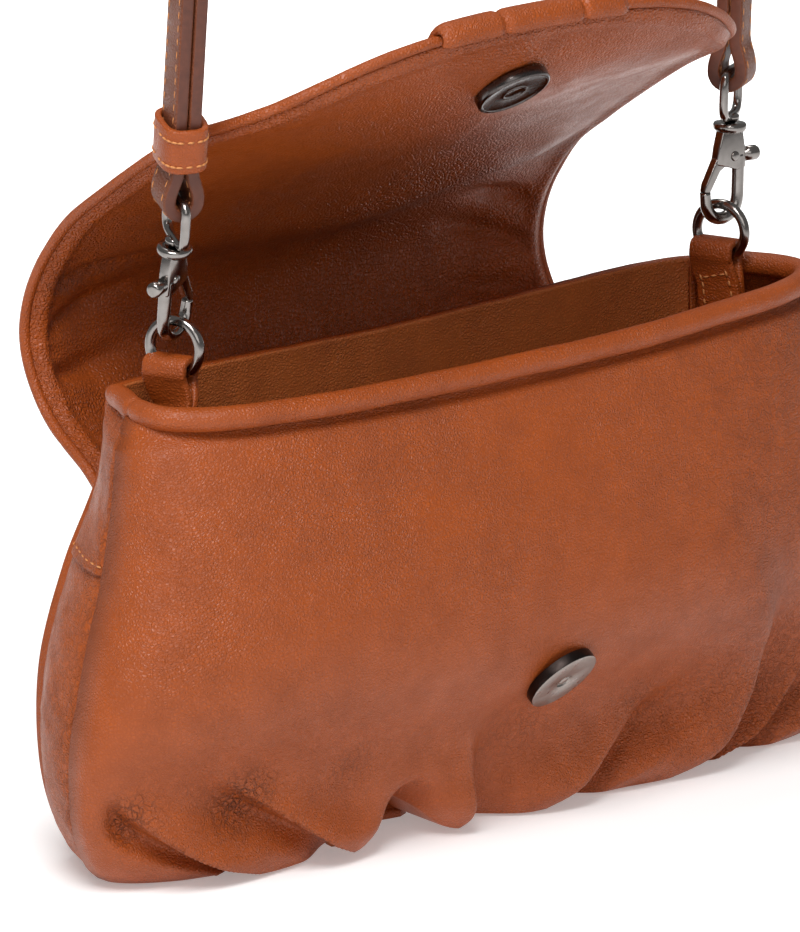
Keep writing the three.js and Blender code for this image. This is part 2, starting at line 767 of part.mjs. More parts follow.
// from the free end of the short ply, round the bar, to the same height on the long ply
function strandRun(end, shortSide) {
  const heights = [tailLength, 60, 24, 12, 8, 6, 4, 2];
  const points = heights.map((h) => strandPoint(end, h, shortSide * plyOffset(h)));
  for (let i = 0; i <= 8; i++) {
    const turn = (i / 8) * Math.PI;
    points.push(strandPoint(end, -turnRadius * Math.sin(turn), shortSide * turnRadius * Math.cos(turn)));
  }
  for (const h of heights.slice().reverse()) {
    points.push(strandPoint(end, h, -shortSide * plyOffset(h)));
  }
  return points;
}

const [leftEnd, rightEnd] = ends;
const leftRun = strandRun(leftEnd, 1);
const rightRun = strandRun(rightEnd, -1).reverse();
const leftTop = leftRun[leftRun.length - 1];
const rightTop = rightRun[0];
const archMid = (leftTop.x + rightTop.x) / 2;
const archHalf = (rightTop.x - leftTop.x) / 2 + 2;
const archPoints = [];
for (let i = 0; i <= 6; i++) {
  const turn = Math.PI * (1 - i / 6);
  const y = leftTop.y + (rightTop.y - leftTop.y) * (i / 6);
  const z = archFoot + archHalf * Math.sin(turn);
  archPoints.push(new THREE.Vector3(archMid + archHalf * Math.cos(turn), y, z));
}
const crown = new THREE.CatmullRomCurve3([
  strandPoint(leftEnd, tailLength - 40, -plySpread),
  leftTop,
  new THREE.Vector3(leftTop.x - 5, leftTop.y - 8, 380),
  ...archPoints,
  new THREE.Vector3(rightTop.x + 3, rightTop.y, 380),
  rightTop,
  strandPoint(rightEnd, tailLength - 40, plySpread),
], false, 'centripetal');
const crownSpans = crown.points.length - 1;
const crownRun = [];
for (let i = 1; i < 34; i++) {
  crownRun.push(crown.getPoint((1 + (crownSpans - 2) * (i / 34)) / crownSpans));
}
const strapPath = [...leftRun, ...crownRun, ...rightRun];
const strapRings = strapPath.map((point, i) => {
  const before = strapPath[Math.max(i - 1, 0)];
  const after = strapPath[Math.min(i + 1, strapPath.length - 1)];
  const ahead = after.clone().sub(before).normalize();
  const share = THREE.MathUtils.clamp((i - leftRun.length) / crownRun.length, 0, 1);
  const turn = (leftEnd.strapTurn + (rightEnd.strapTurn - leftEnd.strapTurn) * share) * degree;
  const wide = new THREE.Vector3(-Math.sin(turn), Math.cos(turn), 0);
  if (share === 0) {
    wide.set(0, 1, 0).applyQuaternion(turned(leftEnd, leftEnd.strapTurn));
  } else if (share === 1) {
    wide.set(0, 1, 0).applyQuaternion(turned(rightEnd, rightEnd.strapTurn));
  }
  wide.addScaledVector(ahead, -wide.dot(ahead)).normalize();
  return ribbonRing(point, ahead, wide, strapWide, strapThick);
});
place('strap', sweep(strapRings, false), tanDark);

// keeper loop round both plies of the left strand
function roundedRect(shape, halfX, halfY, radius) {
  shape.absarc(halfX - radius, -halfY + radius, radius, -Math.PI / 2, 0, false);
  shape.absarc(halfX - radius, halfY - radius, radius, 0, Math.PI / 2, false);
  shape.absarc(-halfX + radius, halfY - radius, radius, Math.PI / 2, Math.PI, false);
  shape.absarc(-halfX + radius, -halfY + radius, radius, Math.PI, 1.5 * Math.PI, false);
  shape.closePath();
  return shape;
}

const keeperHole = { x: plySpread + strapThick / 2 + seat, y: strapWide / 2 + seat };
const keeperShape = roundedRect(new THREE.Shape(), keeperHole.x + 1.5, keeperHole.y + 1.5, 1.8);
keeperShape.holes.push(roundedRect(new THREE.Path(), keeperHole.x, keeperHole.y, 0.3));
const keeperTall = 10.5;
const keeperStyle = { depth: keeperTall, bevelEnabled: false, curveSegments: 3 };
const keeper = new THREE.ExtrudeGeometry(keeperShape, keeperStyle);
const keeperMesh = place('strap_keeper', keeper, tan);
keeperMesh.position.copy(strandPoint(leftEnd, 8.2, 0));
keeperMesh.quaternion.copy(turned(leftEnd, leftEnd.strapTurn));

export default bag;
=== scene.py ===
import math

import bmesh
import bpy
from mathutils import Matrix, Quaternion, Vector, noise


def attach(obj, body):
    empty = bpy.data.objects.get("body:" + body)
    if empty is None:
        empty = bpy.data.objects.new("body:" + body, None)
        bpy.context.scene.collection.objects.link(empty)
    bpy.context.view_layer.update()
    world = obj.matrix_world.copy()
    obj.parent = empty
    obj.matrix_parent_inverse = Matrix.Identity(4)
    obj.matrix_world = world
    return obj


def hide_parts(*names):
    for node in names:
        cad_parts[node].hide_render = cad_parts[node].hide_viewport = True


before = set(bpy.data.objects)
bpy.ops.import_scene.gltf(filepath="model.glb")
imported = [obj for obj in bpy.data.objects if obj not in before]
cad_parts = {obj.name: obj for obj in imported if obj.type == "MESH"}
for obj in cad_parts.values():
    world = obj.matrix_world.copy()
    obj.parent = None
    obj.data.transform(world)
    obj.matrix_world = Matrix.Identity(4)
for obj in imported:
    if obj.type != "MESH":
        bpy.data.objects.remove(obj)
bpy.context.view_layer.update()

mm = 0.001  # all shapes below are worked out in millimetres

# camera at the angle of the picture
cameraSetup = {
    "azimuth": 40.5,
    "elevation": 14.2,
    "distance": 2200.0,
    "focalPixels": 9900.0,
    "image": (800, 932),
    "anchor": (-104.5, 6.0, 107.0),  # the left front corner of the rim
    "anchorPixel": (118.0, 420.0),
}


def makeCamera(setup):
    a = math.radians(setup["azimuth"])
    e = math.radians(setup["elevation"])
    right = Vector((math.cos(a), -math.sin(a), 0))
    ahead = Vector((math.sin(a) * math.cos(e), math.cos(a) * math.cos(e), -math.sin(e)))
    up = right.cross(ahead)
    perPixel = setup["distance"] / setup["focalPixels"]
    across = (setup["anchorPixel"][0] - setup["image"][0] / 2) * perPixel
    down = (setup["anchorPixel"][1] - setup["image"][1] / 2) * perPixel
    eye = Vector(setup["anchor"]) - ahead * setup["distance"] - right * across + up * down
    data = bpy.data.cameras.new("camera")
    data.sensor_fit = "HORIZONTAL"
    data.sensor_width = 36.0
    data.lens = setup["focalPixels"] * 36.0 / setup["image"][0]
    data.clip_end = 20.0
    camera = bpy.data.objects.new("camera", data)
    bpy.context.scene.collection.objects.link(camera)
    turn = Matrix((right, up, -ahead)).transposed().to_4x4()
    camera.matrix_world = Matrix.Translation(eye * mm) @ turn
    bpy.context.scene.camera = camera


makeCamera(cameraSetup)
print("camera set")


# small tools
def smoothstep(x, low, high):
    t = min(max((x - low) / (high - low), 0.0), 1.0)
    return t * t * (3 - 2 * t)


def readColumn(values, t):
    # smooth curve through evenly spaced rows, read from 0 (first row) to 1 (last row)
    last = len(values) - 1
    place = min(max(t, 0.0), 1.0) * last
    i = min(int(place), last - 1)
    w = place - i
    p0, p1 = values[max(i - 1, 0)], values[i]
    p2, p3 = values[i + 1], values[min(i + 2, last)]
    v0, v1 = (p2 - p0) / 2, (p3 - p1) / 2
    return (2 * p1 - 2 * p2 + v0 + v1) * w**3 + (3 * p2 - 3 * p1 - 2 * v0 - v1) * w**2 + v0 * w + p1


def levelAt(heights, z):
    low, high = 0.0, 1.0
    for _ in range(36):
        mid = (low + high) / 2
        if readColumn(heights, mid) > z:
            low = mid
        else:
            high = mid
    return (low + high) / 2


def crowded(s):
    return 0.55 * s + 0.45 * math.sin(s * math.pi / 2)


def smoothPath(points, count):
    # even steps along a smooth curve through the points
    fine = []
    spans = len(points) - 1
    for i in range(spans * 24 + 1):
        t = i / (spans * 24)
        fine.append(Vector([readColumn([p[k] for p in points], t) for k in range(3)]))
    run = [0.0]
    for a, b in zip(fine, fine[1:]):
        run.append(run[-1] + (b - a).length)
    out, j = [], 0
    for i in range(count + 1):
        want = run[-1] * i / count
        while j < len(run) - 2 and run[j + 1] < want:
            j += 1
        w = (want - run[j]) / max(run[j + 1] - run[j], 1e-9)
        out.append(fine[j].lerp(fine[j + 1], w))
    return out


def directions(path, closed=False):
    n = len(path)
    out = []
    for i in range(n):
        before = path[(i - 1) % n] if closed else path[max(i - 1, 0)]
        after = path[(i + 1) % n] if closed else path[min(i + 1, n - 1)]
        out.append((after - before).normalized())
    return out


# materials
def srgb(code):
    values = [int(code[i:i + 2], 16) / 255 for i in (1, 3, 5)]
    return [v / 12.92 if v <= 0.04045 else ((v + 0.055) / 1.055) ** 2.4 for v in values] + [1.0]


def addNode(tree, kind, inputs=None, **settings):
    node = tree.nodes.new(kind)
    for key, value in settings.items():
        setattr(node, key, value)
    for key, value in (inputs or {}).items():
        if isinstance(value, bpy.types.NodeSocket):
            tree.links.new(value, node.inputs[key])
        else:
            node.inputs[key].default_value = value
    return node


def newMaterial(name):
    material = bpy.data.materials.new(name)
    material.use_nodes = True
    tree = material.node_tree
    tree.nodes.clear()
    shader = addNode(tree, "ShaderNodeBsdfPrincipled")
    addNode(tree, "ShaderNodeOutputMaterial", {"Surface": shader.outputs[0]})
    return material, tree, shader


def leatherMaterial(name, light, dark, roughness=0.42, grain=0.8, depth=0.16, ior=1.44):
    # drum-dyed soft calf: pebbled grain cells about a millimetre across under a satin top coat,
    # stronger in some patches than others, with fine wrinkles where the skin is drawn together; the colour is
    # painted darker in the grain valleys and in the wrinkle lines as painted shade
    material, tree, shader = newMaterial(name)
    place = addNode(tree, "ShaderNodeTexCoord").outputs["Object"]
    wander = addNode(tree, "ShaderNodeTexNoise", {"Vector": place, "Scale": 1 / (2.4 * mm), "Detail": 2.0})
    shift = addNode(
        tree, "ShaderNodeVectorMath", {0: wander.outputs["Color"], 1: (0.5, 0.5, 0.5)}, operation="SUBTRACT"
    )
    scaled = addNode(
        tree, "ShaderNodeVectorMath", {0: shift.outputs[0], "Scale": 0.9 * mm}, operation="SCALE"
    )
    bent = addNode(tree, "ShaderNodeVectorMath", {0: place, 1: scaled.outputs[0]}, operation="ADD")
    cells = addNode(
        tree, "ShaderNodeTexVoronoi", {"Vector": bent.outputs[0], "Scale": 1 / (grain * mm)},
        feature="DISTANCE_TO_EDGE",
    )
    pebble = addNode(
        tree, "ShaderNodeMapRange", {0: cells.outputs["Distance"], 1: 0.0, 2: 0.34, 3: 0.0, 4: 1.0},
        interpolation_type="SMOOTHSTEP",
    )
    fine = addNode(tree, "ShaderNodeTexNoise", {"Vector": place, "Scale": 1 / (0.5 * mm), "Detail": 3.0})
    wide = addNode(
        tree, "ShaderNodeTexNoise",
        {"Vector": place, "Scale": 1 / (9.0 * mm), "Detail": 3.0, "Roughness": 0.6},
    )
    cloud = addNode(tree, "ShaderNodeTexNoise", {"Vector": place, "Scale": 1 / (34.0 * mm), "Detail": 2.0})
    strength = addNode(
        tree, "ShaderNodeMapRange", {0: cloud.outputs["Fac"], 1: 0.36, 2: 0.62, 3: 0.5, 4: 1.0}
    )
    creaseAndShade = addNode(tree, "ShaderNodeAttribute", attribute_name="creaseAndShade")
    cracks = addNode(
        tree, "ShaderNodeTexVoronoi", {"Vector": bent.outputs[0], "Scale": 1 / (1.7 * mm)},
        feature="DISTANCE_TO_EDGE",
    )
    groove = addNode(
        tree, "ShaderNodeMapRange", {0: cracks.outputs["Distance"], 1: 0.0, 2: 0.12, 3: 0.6, 4: 0.0},
        interpolation_type="SMOOTHSTEP",
    )
    drift = addNode(tree, "ShaderNodeTexNoise", {"Vector": place, "Scale": 1 / (2.6 * mm), "Detail": 4.0})
    level = addNode(tree, "ShaderNodeMath", {0: drift.outputs["Fac"], 1: 0.5}, operation="SUBTRACT")
    distance = addNode(tree, "ShaderNodeMath", {0: level.outputs[0]}, operation="ABSOLUTE")
    hairs = addNode(
        tree, "ShaderNodeMapRange", {0: distance.outputs[0], 1: 0.0, 2: 0.045, 3: 1.0, 4: 0.0},
        interpolation_type="SMOOTHSTEP",
    )
    lines = addNode(tree, "ShaderNodeMath", {0: groove.outputs[0], 1: hairs.outputs[0]}, operation="MAXIMUM")
    wrinkleLinesAndShade = addNode(
        tree, "ShaderNodeMath", {0: lines.outputs[0], 1: creaseAndShade.outputs["Fac"]}, operation="MULTIPLY"
    )
    tone = addNode(
        tree, "ShaderNodeMix", {0: wide.outputs["Fac"], 6: srgb(light), 7: srgb(dark)}, data_type="RGBA"
    )
    # darker in the grain valleys: painted shade between the pebbles
    valleyShade = addNode(tree, "ShaderNodeMapRange", {0: pebble.outputs[0], 1: 0.0, 2: 0.8, 3: 0.42, 4: 0.0})
    valleyShadedTone = addNode(
        tree, "ShaderNodeMix", {0: valleyShade.outputs[0], 6: tone.outputs[2], 7: srgb(dark)}, data_type="RGBA"
    )
    # the wrinkle lines pull the colour towards dark brown: painted shade in the creases
    wrinkleShade = addNode(tree, "ShaderNodeMath", {0: wrinkleLinesAndShade.outputs[0], 1: 0.7}, operation="MULTIPLY")
    shadedColour = addNode(
        tree, "ShaderNodeMix", {0: wrinkleShade.outputs[0], 6: valleyShadedTone.outputs[2], 7: srgb("#4A2412")},
        data_type="RGBA",
    )
    polish = addNode(
        tree, "ShaderNodeMapRange",
        {0: wide.outputs["Fac"], 1: 0.3, 2: 0.7, 3: roughness - 0.08, 4: roughness + 0.1},
    )
    micro = addNode(
        tree, "ShaderNodeBump", {"Height": fine.outputs["Fac"], "Strength": 0.3, "Distance": 0.1 * mm}
    )
    pebbled = addNode(
        tree, "ShaderNodeBump",
        {
            "Height": pebble.outputs[0], "Strength": strength.outputs[0], "Distance": depth * mm,
            "Normal": micro.outputs[0],
        },
    )
    dented = addNode(
        tree, "ShaderNodeBump",
        {"Height": wide.outputs["Fac"], "Strength": 0.5, "Distance": 0.5 * mm, "Normal": pebbled.outputs[0]},
    )
    wrinkled = addNode(
        tree, "ShaderNodeBump",
        {"Height": wrinkleLinesAndShade.outputs[0], "Strength": 1.0, "Distance": 0.3 * mm, "Normal": dented.outputs[0]},
        invert=True,
    )
    tree.links.new(shadedColour.outputs[2], shader.inputs["Base Color"])
    tree.links.new(polish.outputs[0], shader.inputs["Roughness"])
    tree.links.new(wrinkled.outputs[0], shader.inputs["Normal"])
    shader.inputs["IOR"].default_value = ior
    return material


def metalMaterial(name, light, dark, roughness):
    # zinc casting, tumbled and plated: a dark mirror with faint clouding and hairline rubs
    material, tree, shader = newMaterial(name)
    place = addNode(tree, "ShaderNodeTexCoord").outputs["Object"]
    cloud = addNode(tree, "ShaderNodeTexNoise", {"Vector": place, "Scale": 1 / (2.5 * mm), "Detail": 3.0})
    tone = addNode(
        tree, "ShaderNodeMix", {0: cloud.outputs["Fac"], 6: srgb(light), 7: srgb(dark)}, data_type="RGBA"
    )
    rub = addNode(
        tree, "ShaderNodeMapRange",
        {0: cloud.outputs["Fac"], 1: 0.3, 2: 0.7, 3: roughness * 0.75, 4: roughness * 1.3},
    )
    tree.links.new(tone.outputs[2], shader.inputs["Base Color"])
    tree.links.new(rub.outputs[0], shader.inputs["Roughness"])
    shader.inputs["Metallic"].default_value = 1.0
    return material


def threadMaterial(name, light, dark):
    # bonded polyester sewing thread, twisted, with a soft sheen
    material, tree, shader = newMaterial(name)
    place = addNode(tree, "ShaderNodeTexCoord").outputs["Object"]
    twist = addNode(tree, "ShaderNodeTexNoise", {"Vector": place, "Scale": 1 / (0.5 * mm), "Detail": 2.0})
    tone = addNode(
        tree, "ShaderNodeMix", {0: twist.outputs["Fac"], 6: srgb(light), 7: srgb(dark)}, data_type="RGBA"
    )
    bump = addNode(
        tree, "ShaderNodeBump", {"Height": twist.outputs["Fac"], "Strength": 0.4, "Distance": 0.1 * mm}
    )
    tree.links.new(tone.outputs[2], shader.inputs["Base Color"])
    tree.links.new(bump.outputs[0], shader.inputs["Normal"])
    shader.inputs["Roughness"].default_value = 0.6
    return material


def edgePaintMaterial(name, light, dark):
    # painted cut edge of the strap: thin brown lacquer over layered leather, slightly uneven
    material, tree, shader = newMaterial(name)
    place = addNode(tree, "ShaderNodeTexCoord").outputs["Object"]
    streak = addNode(tree, "ShaderNodeTexNoise", {"Vector": place, "Scale": 1 / (1.6 * mm), "Detail": 3.0})
    tone = addNode(
        tree, "ShaderNodeMix", {0: streak.outputs["Fac"], 6: srgb(light), 7: srgb(dark)}, data_type="RGBA"
    )
    bump = addNode(
        tree, "ShaderNodeBump", {"Height": streak.outputs["Fac"], "Strength": 0.5, "Distance": 0.2 * mm}
    )
    tree.links.new(tone.outputs[2], shader.inputs["Base Color"])
    tree.links.new(bump.outputs[0], shader.inputs["Normal"])
    shader.inputs["Roughness"].default_value = 0.5
    return material


tanCalf = leatherMaterial("tan_calf", "#B85820", "#8C3F12")
# side leather: the calf with less gloss, its colour painted lighter to stand in for the light falling on the
# gussets
tanGussetLit = leatherMaterial("tan_calf_side_lit", "#C05E24", "#954416", roughness=0.45, depth=0.22, ior=1.37)
tanFlap = leatherMaterial("tan_calf_flap", "#B85820", "#8C3F12", roughness=0.38, grain=1.0, depth=0.28)
# inside leather: its colour painted lighter than the outside to stand in for the light reaching into the bag
tanLiningLit = leatherMaterial("tan_lining_painted_light", "#D87A3C", "#AE5C2A", roughness=0.5)
strapCalf = leatherMaterial("strap_calf", "#8A4A2A", "#65331C", roughness=0.5, grain=0.9, depth=0.22)
edgePaint = edgePaintMaterial("edge_paint", "#6E3A27", "#4E281C")
orangeThread = threadMaterial("orange_thread", "#E29A5C", "#B8703A")
blackNickel = metalMaterial("black_nickel", "#A8A29E", "#88827E", 0.17)
darkNickel = metalMaterial("dark_nickel", "#6E6866", "#4C4644", 0.24)
# dark metal for the snap's rim: partly its dark base, partly a painted dark reflection of the leather
darkEdgeReflection = metalMaterial("dark_edge_painted_reflection", "#3A3230", "#2A2422", 0.4)
satinNickel = metalMaterial("satin_nickel", "#A8A09A", "#98908A", 0.34)
print("materials made")


# building blocks
def makeObject(name, bm, materials, nodes=(), body="bag"):
    mesh = bpy.data.meshes.new(name)
    bm.to_mesh(mesh)
    bm.free()
    mesh.transform(Matrix.Scale(mm, 4))
    for material in materials:
        mesh.materials.append(material)
    mesh.polygons.foreach_set("use_smooth", [True] * len(mesh.polygons))
    piece = bpy.data.objects.new(name, mesh)
    bpy.context.scene.collection.objects.link(piece)
    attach(piece, body)
    if nodes:
        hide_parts(*nodes)
    return piece


def shapedGrid(cols, rows, shape, flip=False):
    # a flat grid whose points are carried to their places; u and v run from 0 to 1
    bm = bmesh.new()
    bmesh.ops.create_grid(bm, x_segments=cols, y_segments=rows, size=1.0)
    # each point may also carry a wrinkle amount, which the leather turns into bumps and painted shade
    creaseAndShade = bm.verts.layers.float.new("creaseAndShade")
    for vert in bm.verts:
        result = shape(vert.co.x / 2 + 0.5, vert.co.y / 2 + 0.5)
        if isinstance(result, tuple):
            vert.co, vert[creaseAndShade] = result
        else:
            vert.co = result
    if flip:
        bmesh.ops.reverse_faces(bm, faces=bm.faces)
    return bm


def thicken(piece, thick, lining=0):
    wall = piece.modifiers.new("thickness", "SOLIDIFY")
    wall.thickness = thick * mm
    wall.offset = -1.0
    wall.use_rim = True
    wall.material_offset = lining
    return piece


def sweptBar(path, section, frames, closed=False):
    # section["at"](k, i): point k of the outline at step i, in the frame's two directions
    bm = bmesh.new()
    sides = section["sides"]
    steps = len(path)
    rows = steps if closed else steps - 1
    bmesh.ops.create_grid(bm, x_segments=sides, y_segments=rows, size=1.0)
    for vert in bm.verts:
        k = round((vert.co.x / 2 + 0.5) * sides) % sides
        i = round((vert.co.y / 2 + 0.5) * rows) % steps
        a, b = section["at"](k, i)
        vert.co = path[i] + frames[i][0] * a + frames[i][1] * b
    bmesh.ops.remove_doubles(bm, verts=bm.verts, dist=1e-5)
    if not closed:
        bmesh.ops.holes_fill(bm, edges=[e for e in bm.edges if e.is_boundary], sides=0)
    bmesh.ops.recalc_face_normals(bm, faces=bm.faces)
    return bm


def carriedFrames(path, start, closed=False):
    frames = []
    side = start.copy()
    for ahead in directions(path, closed):
        side = (side - ahead * side.dot(ahead)).normalized()
        frames.append((side.copy(), ahead.cross(side)))
    return frames


def roundSection(sides, radius):
    def at(k, i):
        r = radius(i, k) if callable(radius) else radius
        turn = 2 * math.pi * k / sides
        return r * math.cos(turn), r * math.sin(turn)
    return {"sides": sides, "at": at}


def flatSection(width, thick, corner, perCorner=4):
    outline = []
    for cx, cy, start in ((1, 1, 0), (-1, 1, 90), (-1, -1, 180), (1, -1, 270)):
        for j in range(perCorner):
            turn = math.radians(start + 90 * j / (perCorner - 1))
            outline.append((
                cx * (width / 2 - corner) + corner * math.cos(turn),
                cy * (thick / 2 - corner) + corner * math.sin(turn),
            ))
    return {"sides": len(outline), "at": lambda k, i: outline[k]}


def turnedDisc(profile, steps=40):
    bm = bmesh.new()
    verts = [bm.verts.new((r, 0, h)) for r, h in profile]
    edges = [bm.edges.new(pair) for pair in zip(verts, verts[1:])]
    bmesh.ops.spin(
        bm, geom=verts + edges, cent=(0, 0, 0), axis=(0, 0, 1), dvec=(0, 0, 0), angle=2 * math.pi,
        steps=steps, use_merge=True, use_duplicate=False,
    )
    bmesh.ops.remove_doubles(bm, verts=bm.verts, dist=1e-4)
    bmesh.ops.recalc_face_normals(bm, faces=bm.faces)
    return bm


def addStitch(bm, centre, along, out, length, radius):
    # one stitch: a short bead sunk a little into the leather
    made = bmesh.ops.create_icosphere(bm, subdivisions=1, radius=1.0)["verts"]
    side = along.cross(out).normalized()
    turn = Matrix((along.normalized(), side, side.cross(along).normalized())).transposed()
    for vert in made:
        local = Vector((vert.co.x * length / 2, vert.co.y * radius, vert.co.z * radius * 0.8))
        vert.co = centre + turn @ local


# front panel
frontTable = {
    "z": [104.6, 96, 86, 70, 56, 45, 36, 27, 16, 6, 0.6],
    "half": [103.5, 105, 107, 111, 116, 119, 121, 121.5, 120, 115, 108.5],
    "seamY": [8.5, 7.5, 6.5, 5.5, 4.5, 4, 4, 4, 5, 7, 10],
    "midY": [-16, -19, -22.5, -27.5, -30, -29, -24.7, -19.2, -17.2, -16.8, -11.5],
}
frontPanel = {
    "cols": 250,
    "rows": 130,
    "crackleAndShade": 0.14,
    "under": 0.05,
    "shoulder": 4.6,
    "thick": 1.4,
    "round": 3.0,
    "footRound": 2.6,
    "lapRun": 11.0,
    # each tuck: x at the base, x where it ends, how far it bends aside on the way, how high it ends, depth,
    # how far the lobe laps over, swell of the lobe, width to the left and to the right, lift of the hem
    "tucks": [
        (-74, -129, -10, 34, 5.5, 7.5, 3.5, 7, 2.4, 0.2),
        (-50, -107, 0, 32, 6.0, 7.5, 4.0, 9, 2.4, 1.2),
        (-36, -37, 0, 17, 9.0, 0.0, 0.0, 5, 4, 10.0),
        (-17, -13, 0, 38, 8.5, 2.5, 2.5, 4.0, 12, 0.4),
        (8.5, 58, 0, 34, 9.5, 3.0, 2.5, 4.5, 11, 0.4),
        (46, 55, 25, 76, 9.5, 4.0, 2.5, 5.5, 14, 0.2),
        (64, 106, 12.5, 56, 9.0, 3.0, 2.0, 4.5, 12, 0.2),
    ],
    # shallow dimples where the tucks run out: x, z, depth, radius, wrinkling with painted shade in its lines
    "dimples": [
        (-112, 18, 2.6, 8, 1.0), (-84, 19, 2.6, 9, 1.0), (-57, 23, 0.8, 8, 0.4),
        (-4, 22, 1.0, 9, 0.4), (33, 21, 2.2, 10, 0.5),
    ],
}
rimLift = {"height": 4.0, "from": -20.0, "to": 100.0}


def raised(x, z):
    return rimLift["height"] * smoothstep(x, rimLift["from"], rimLift["to"]) * smoothstep(z, 60, 104)


def tuckPull(x, z):
    # how far the leather is drawn in, how far its hem lifts, how far the lobe laps aside, how wrinkled it is
    # and how much painted shade its wrinkle lines get
    pull, rising, lap, swell = 0.0, 0.0, 0.0, 0.0
    # a base wrinkle amount, three times as strong towards the right, whose lines get painted shade
    creaseShadeMark = frontPanel["crackleAndShade"] * (1 + 2.0 * smoothstep(x, 10, 80))
    for foot, head, bend, top, depth, lapping, swelling, left, right, lift in frontPanel["tucks"]:
        rise = z / top
        if rise >= 1:
            continue
        off = x - (foot + (head - foot) * rise + bend * math.sin(math.pi * rise**0.7))
        wide = 1.7 * (left if off < 0 else right) * (0.8 + 1.1 * rise)
        fade = (1 - rise) ** 2 * (1 + 2 * rise)
        near = 1 - smoothstep(abs(off), 0, wide)
        pull = max(pull, depth * fade * near)
        rising = max(rising, lift * math.exp(-((off / 7.5) ** 2)) * (1 - smoothstep(z, 0, 20)))
        if left != right and (off < 0) == (left < right):
            beyond = max(abs(off) - wide, 0)
            crest = smoothstep(abs(off), 0, wide) * math.exp(-beyond / frontPanel["lapRun"])
            lap -= math.copysign(lapping * fade * crest * (0.7 + 0.3 * smoothstep(z, 0, 5)), off)
            plump = smoothstep(abs(off), 0, wide) * math.exp(-((beyond / 9) ** 2))
            swell = max(swell, swelling * fade * plump)
        creaseShadeMark = max(creaseShadeMark, 0.3 * near * smoothstep(rise, 0.15, 0.5) * smoothstep(rise, 1.0, 0.7))
    for cx, cz, depth, radius, wrinklingAndShade in frontPanel["dimples"]:
        far = ((x - cx) ** 2 + (z - cz) ** 2) / radius**2
        pull += depth * math.exp(-far)
        creaseShadeMark = max(creaseShadeMark, wrinklingAndShade * math.exp(-far * 1.2))
    return pull - swell, rising, lap, min(creaseShadeMark, 1.0)


def frontPoint(u, t, detail=True):
    half, seam = readColumn(frontTable["half"], t), readColumn(frontTable["seamY"], t)
    mid, z = readColumn(frontTable["midY"], t), readColumn(frontTable["z"], t)
    n = frontPanel["footRound"] + (frontPanel["round"] - frontPanel["footRound"]) * smoothstep(z, 6, 34)
    bend = max(1 - abs(u) ** n, 0) ** (1 / n)
    x = half * u
    pull, rising, lap, creaseShadeMark = tuckPull(x, z)
    edge = smoothstep((1 - abs(u)) * half, 0, 9)
    y = seam + (mid - seam) * bend + pull * edge
    z2 = z + rising * edge + raised(x, z)
    if detail:
        fromSeam = abs(mid - seam) * bend
        broad = noise.noise(Vector((x / 34, z / 26, 3.7)))
        folds = noise.noise(Vector(((x + 0.35 * z) / 9, z / 30, 8.1)))
        y += 0.9 * broad * edge + 0.35 * folds * edge * smoothstep(z, 70, 10)
        y += 2.0 * smoothstep(z, 102.0, 102.9)  # the seam under the roll
        shoulder = frontPanel["shoulder"] * smoothstep(z, 99, 106) * smoothstep(abs(u), 0.72, 1.0)
        x += lap * edge - math.copysign(0.5 * (1 - smoothstep(fromSeam, 0, 0.9)) + shoulder, u)
        z2 += 1.6 * smoothstep(z, 102, 104.6)  # the top edge runs up into the roll
    return Vector((x, y, z2)), creaseShadeMark * edge


def frontShape(u, v):
    u = crowded(2 * u - 1)
    if v >= frontPanel["under"]:
        return frontPoint(u, 1 - (v - frontPanel["under"]) / (1 - frontPanel["under"]))
    hem = frontPoint(u, 1)[0]
    inside = hem.lerp(backPoint(u, 1, False)[0], 0.42 * (1 - v / frontPanel["under"]))
    inside.z = hem.z + 0.3 * (1 - v / frontPanel["under"])
    return inside  # the hem turns in under the bag


# back panel
backTable = {
    "z": [107.6, 88, 68, 46, 24, 8, 0.6],
    "half": [89.5, 91.5, 100.5, 107, 107.5, 104, 98],
    "seamY": [27, 27.5, 28.5, 29, 29, 28, 25],
    "midY": [34.5, 37, 39, 41, 40, 36, 31],
}
backPanel = {"cols": 170, "rows": 80, "thick": 2.0, "round": 3.4}


def backPoint(u, t, detail=True):
    half, seam = readColumn(backTable["half"], t), readColumn(backTable["seamY"], t)
    mid, z = readColumn(backTable["midY"], t), readColumn(backTable["z"], t)
    bend = max(1 - abs(u) ** backPanel["round"], 0) ** (1 / backPanel["round"])
    x = half * u
    y = seam + (mid - seam) * bend
    if detail:
        x -= math.copysign(1.2, u) * (1 - smoothstep(abs(mid - seam) * bend, 0, 2.2))
        ripple = noise.noise(Vector((x / 7, z / 40, 1.3)))
        broad = noise.noise(Vector((x / 30, z / 30, 5.2)))
        y += (0.5 * ripple * smoothstep(z, 40, 100) + 0.7 * broad) * min(1, 5 * (1 - abs(u)))
    return Vector((x, y, z + raised(x, z))), 0.0


frontBm = shapedGrid(frontPanel["cols"], frontPanel["rows"], frontShape)
front = makeObject("front_panel_leather", frontBm, [tanCalf, tanLiningLit], ["front_panel"])
thicken(front, frontPanel["thick"], 1)
print("front panel made")

backBm = shapedGrid(
    backPanel["cols"], backPanel["rows"], lambda u, v: backPoint(crowded(2 * u - 1), 1 - v), flip=True
)
back = makeObject("back_panel_leather", backBm, [tanCalf, tanLiningLit], ["back_panel"])
thicken(back, backPanel["thick"], 1)
print("back panel made")

# side gussets
gussetTable = {
    "z": [104.6, 88, 76, 66, 50, 26, 8, 0.6],
    "bow": [1.0, 1.0, 1.4, 2.4, 3.2, 3.0, 1.5, 0],
}
gussets = {
    "cols": 26, "rows": 70, "thick": 1.8, "topThick": 1.3, "overlayFoot": 72.0, "underTop": 78.0,
    "rim": 104.6, "top": 106.6, "crackleAndShade": 0.5,
}


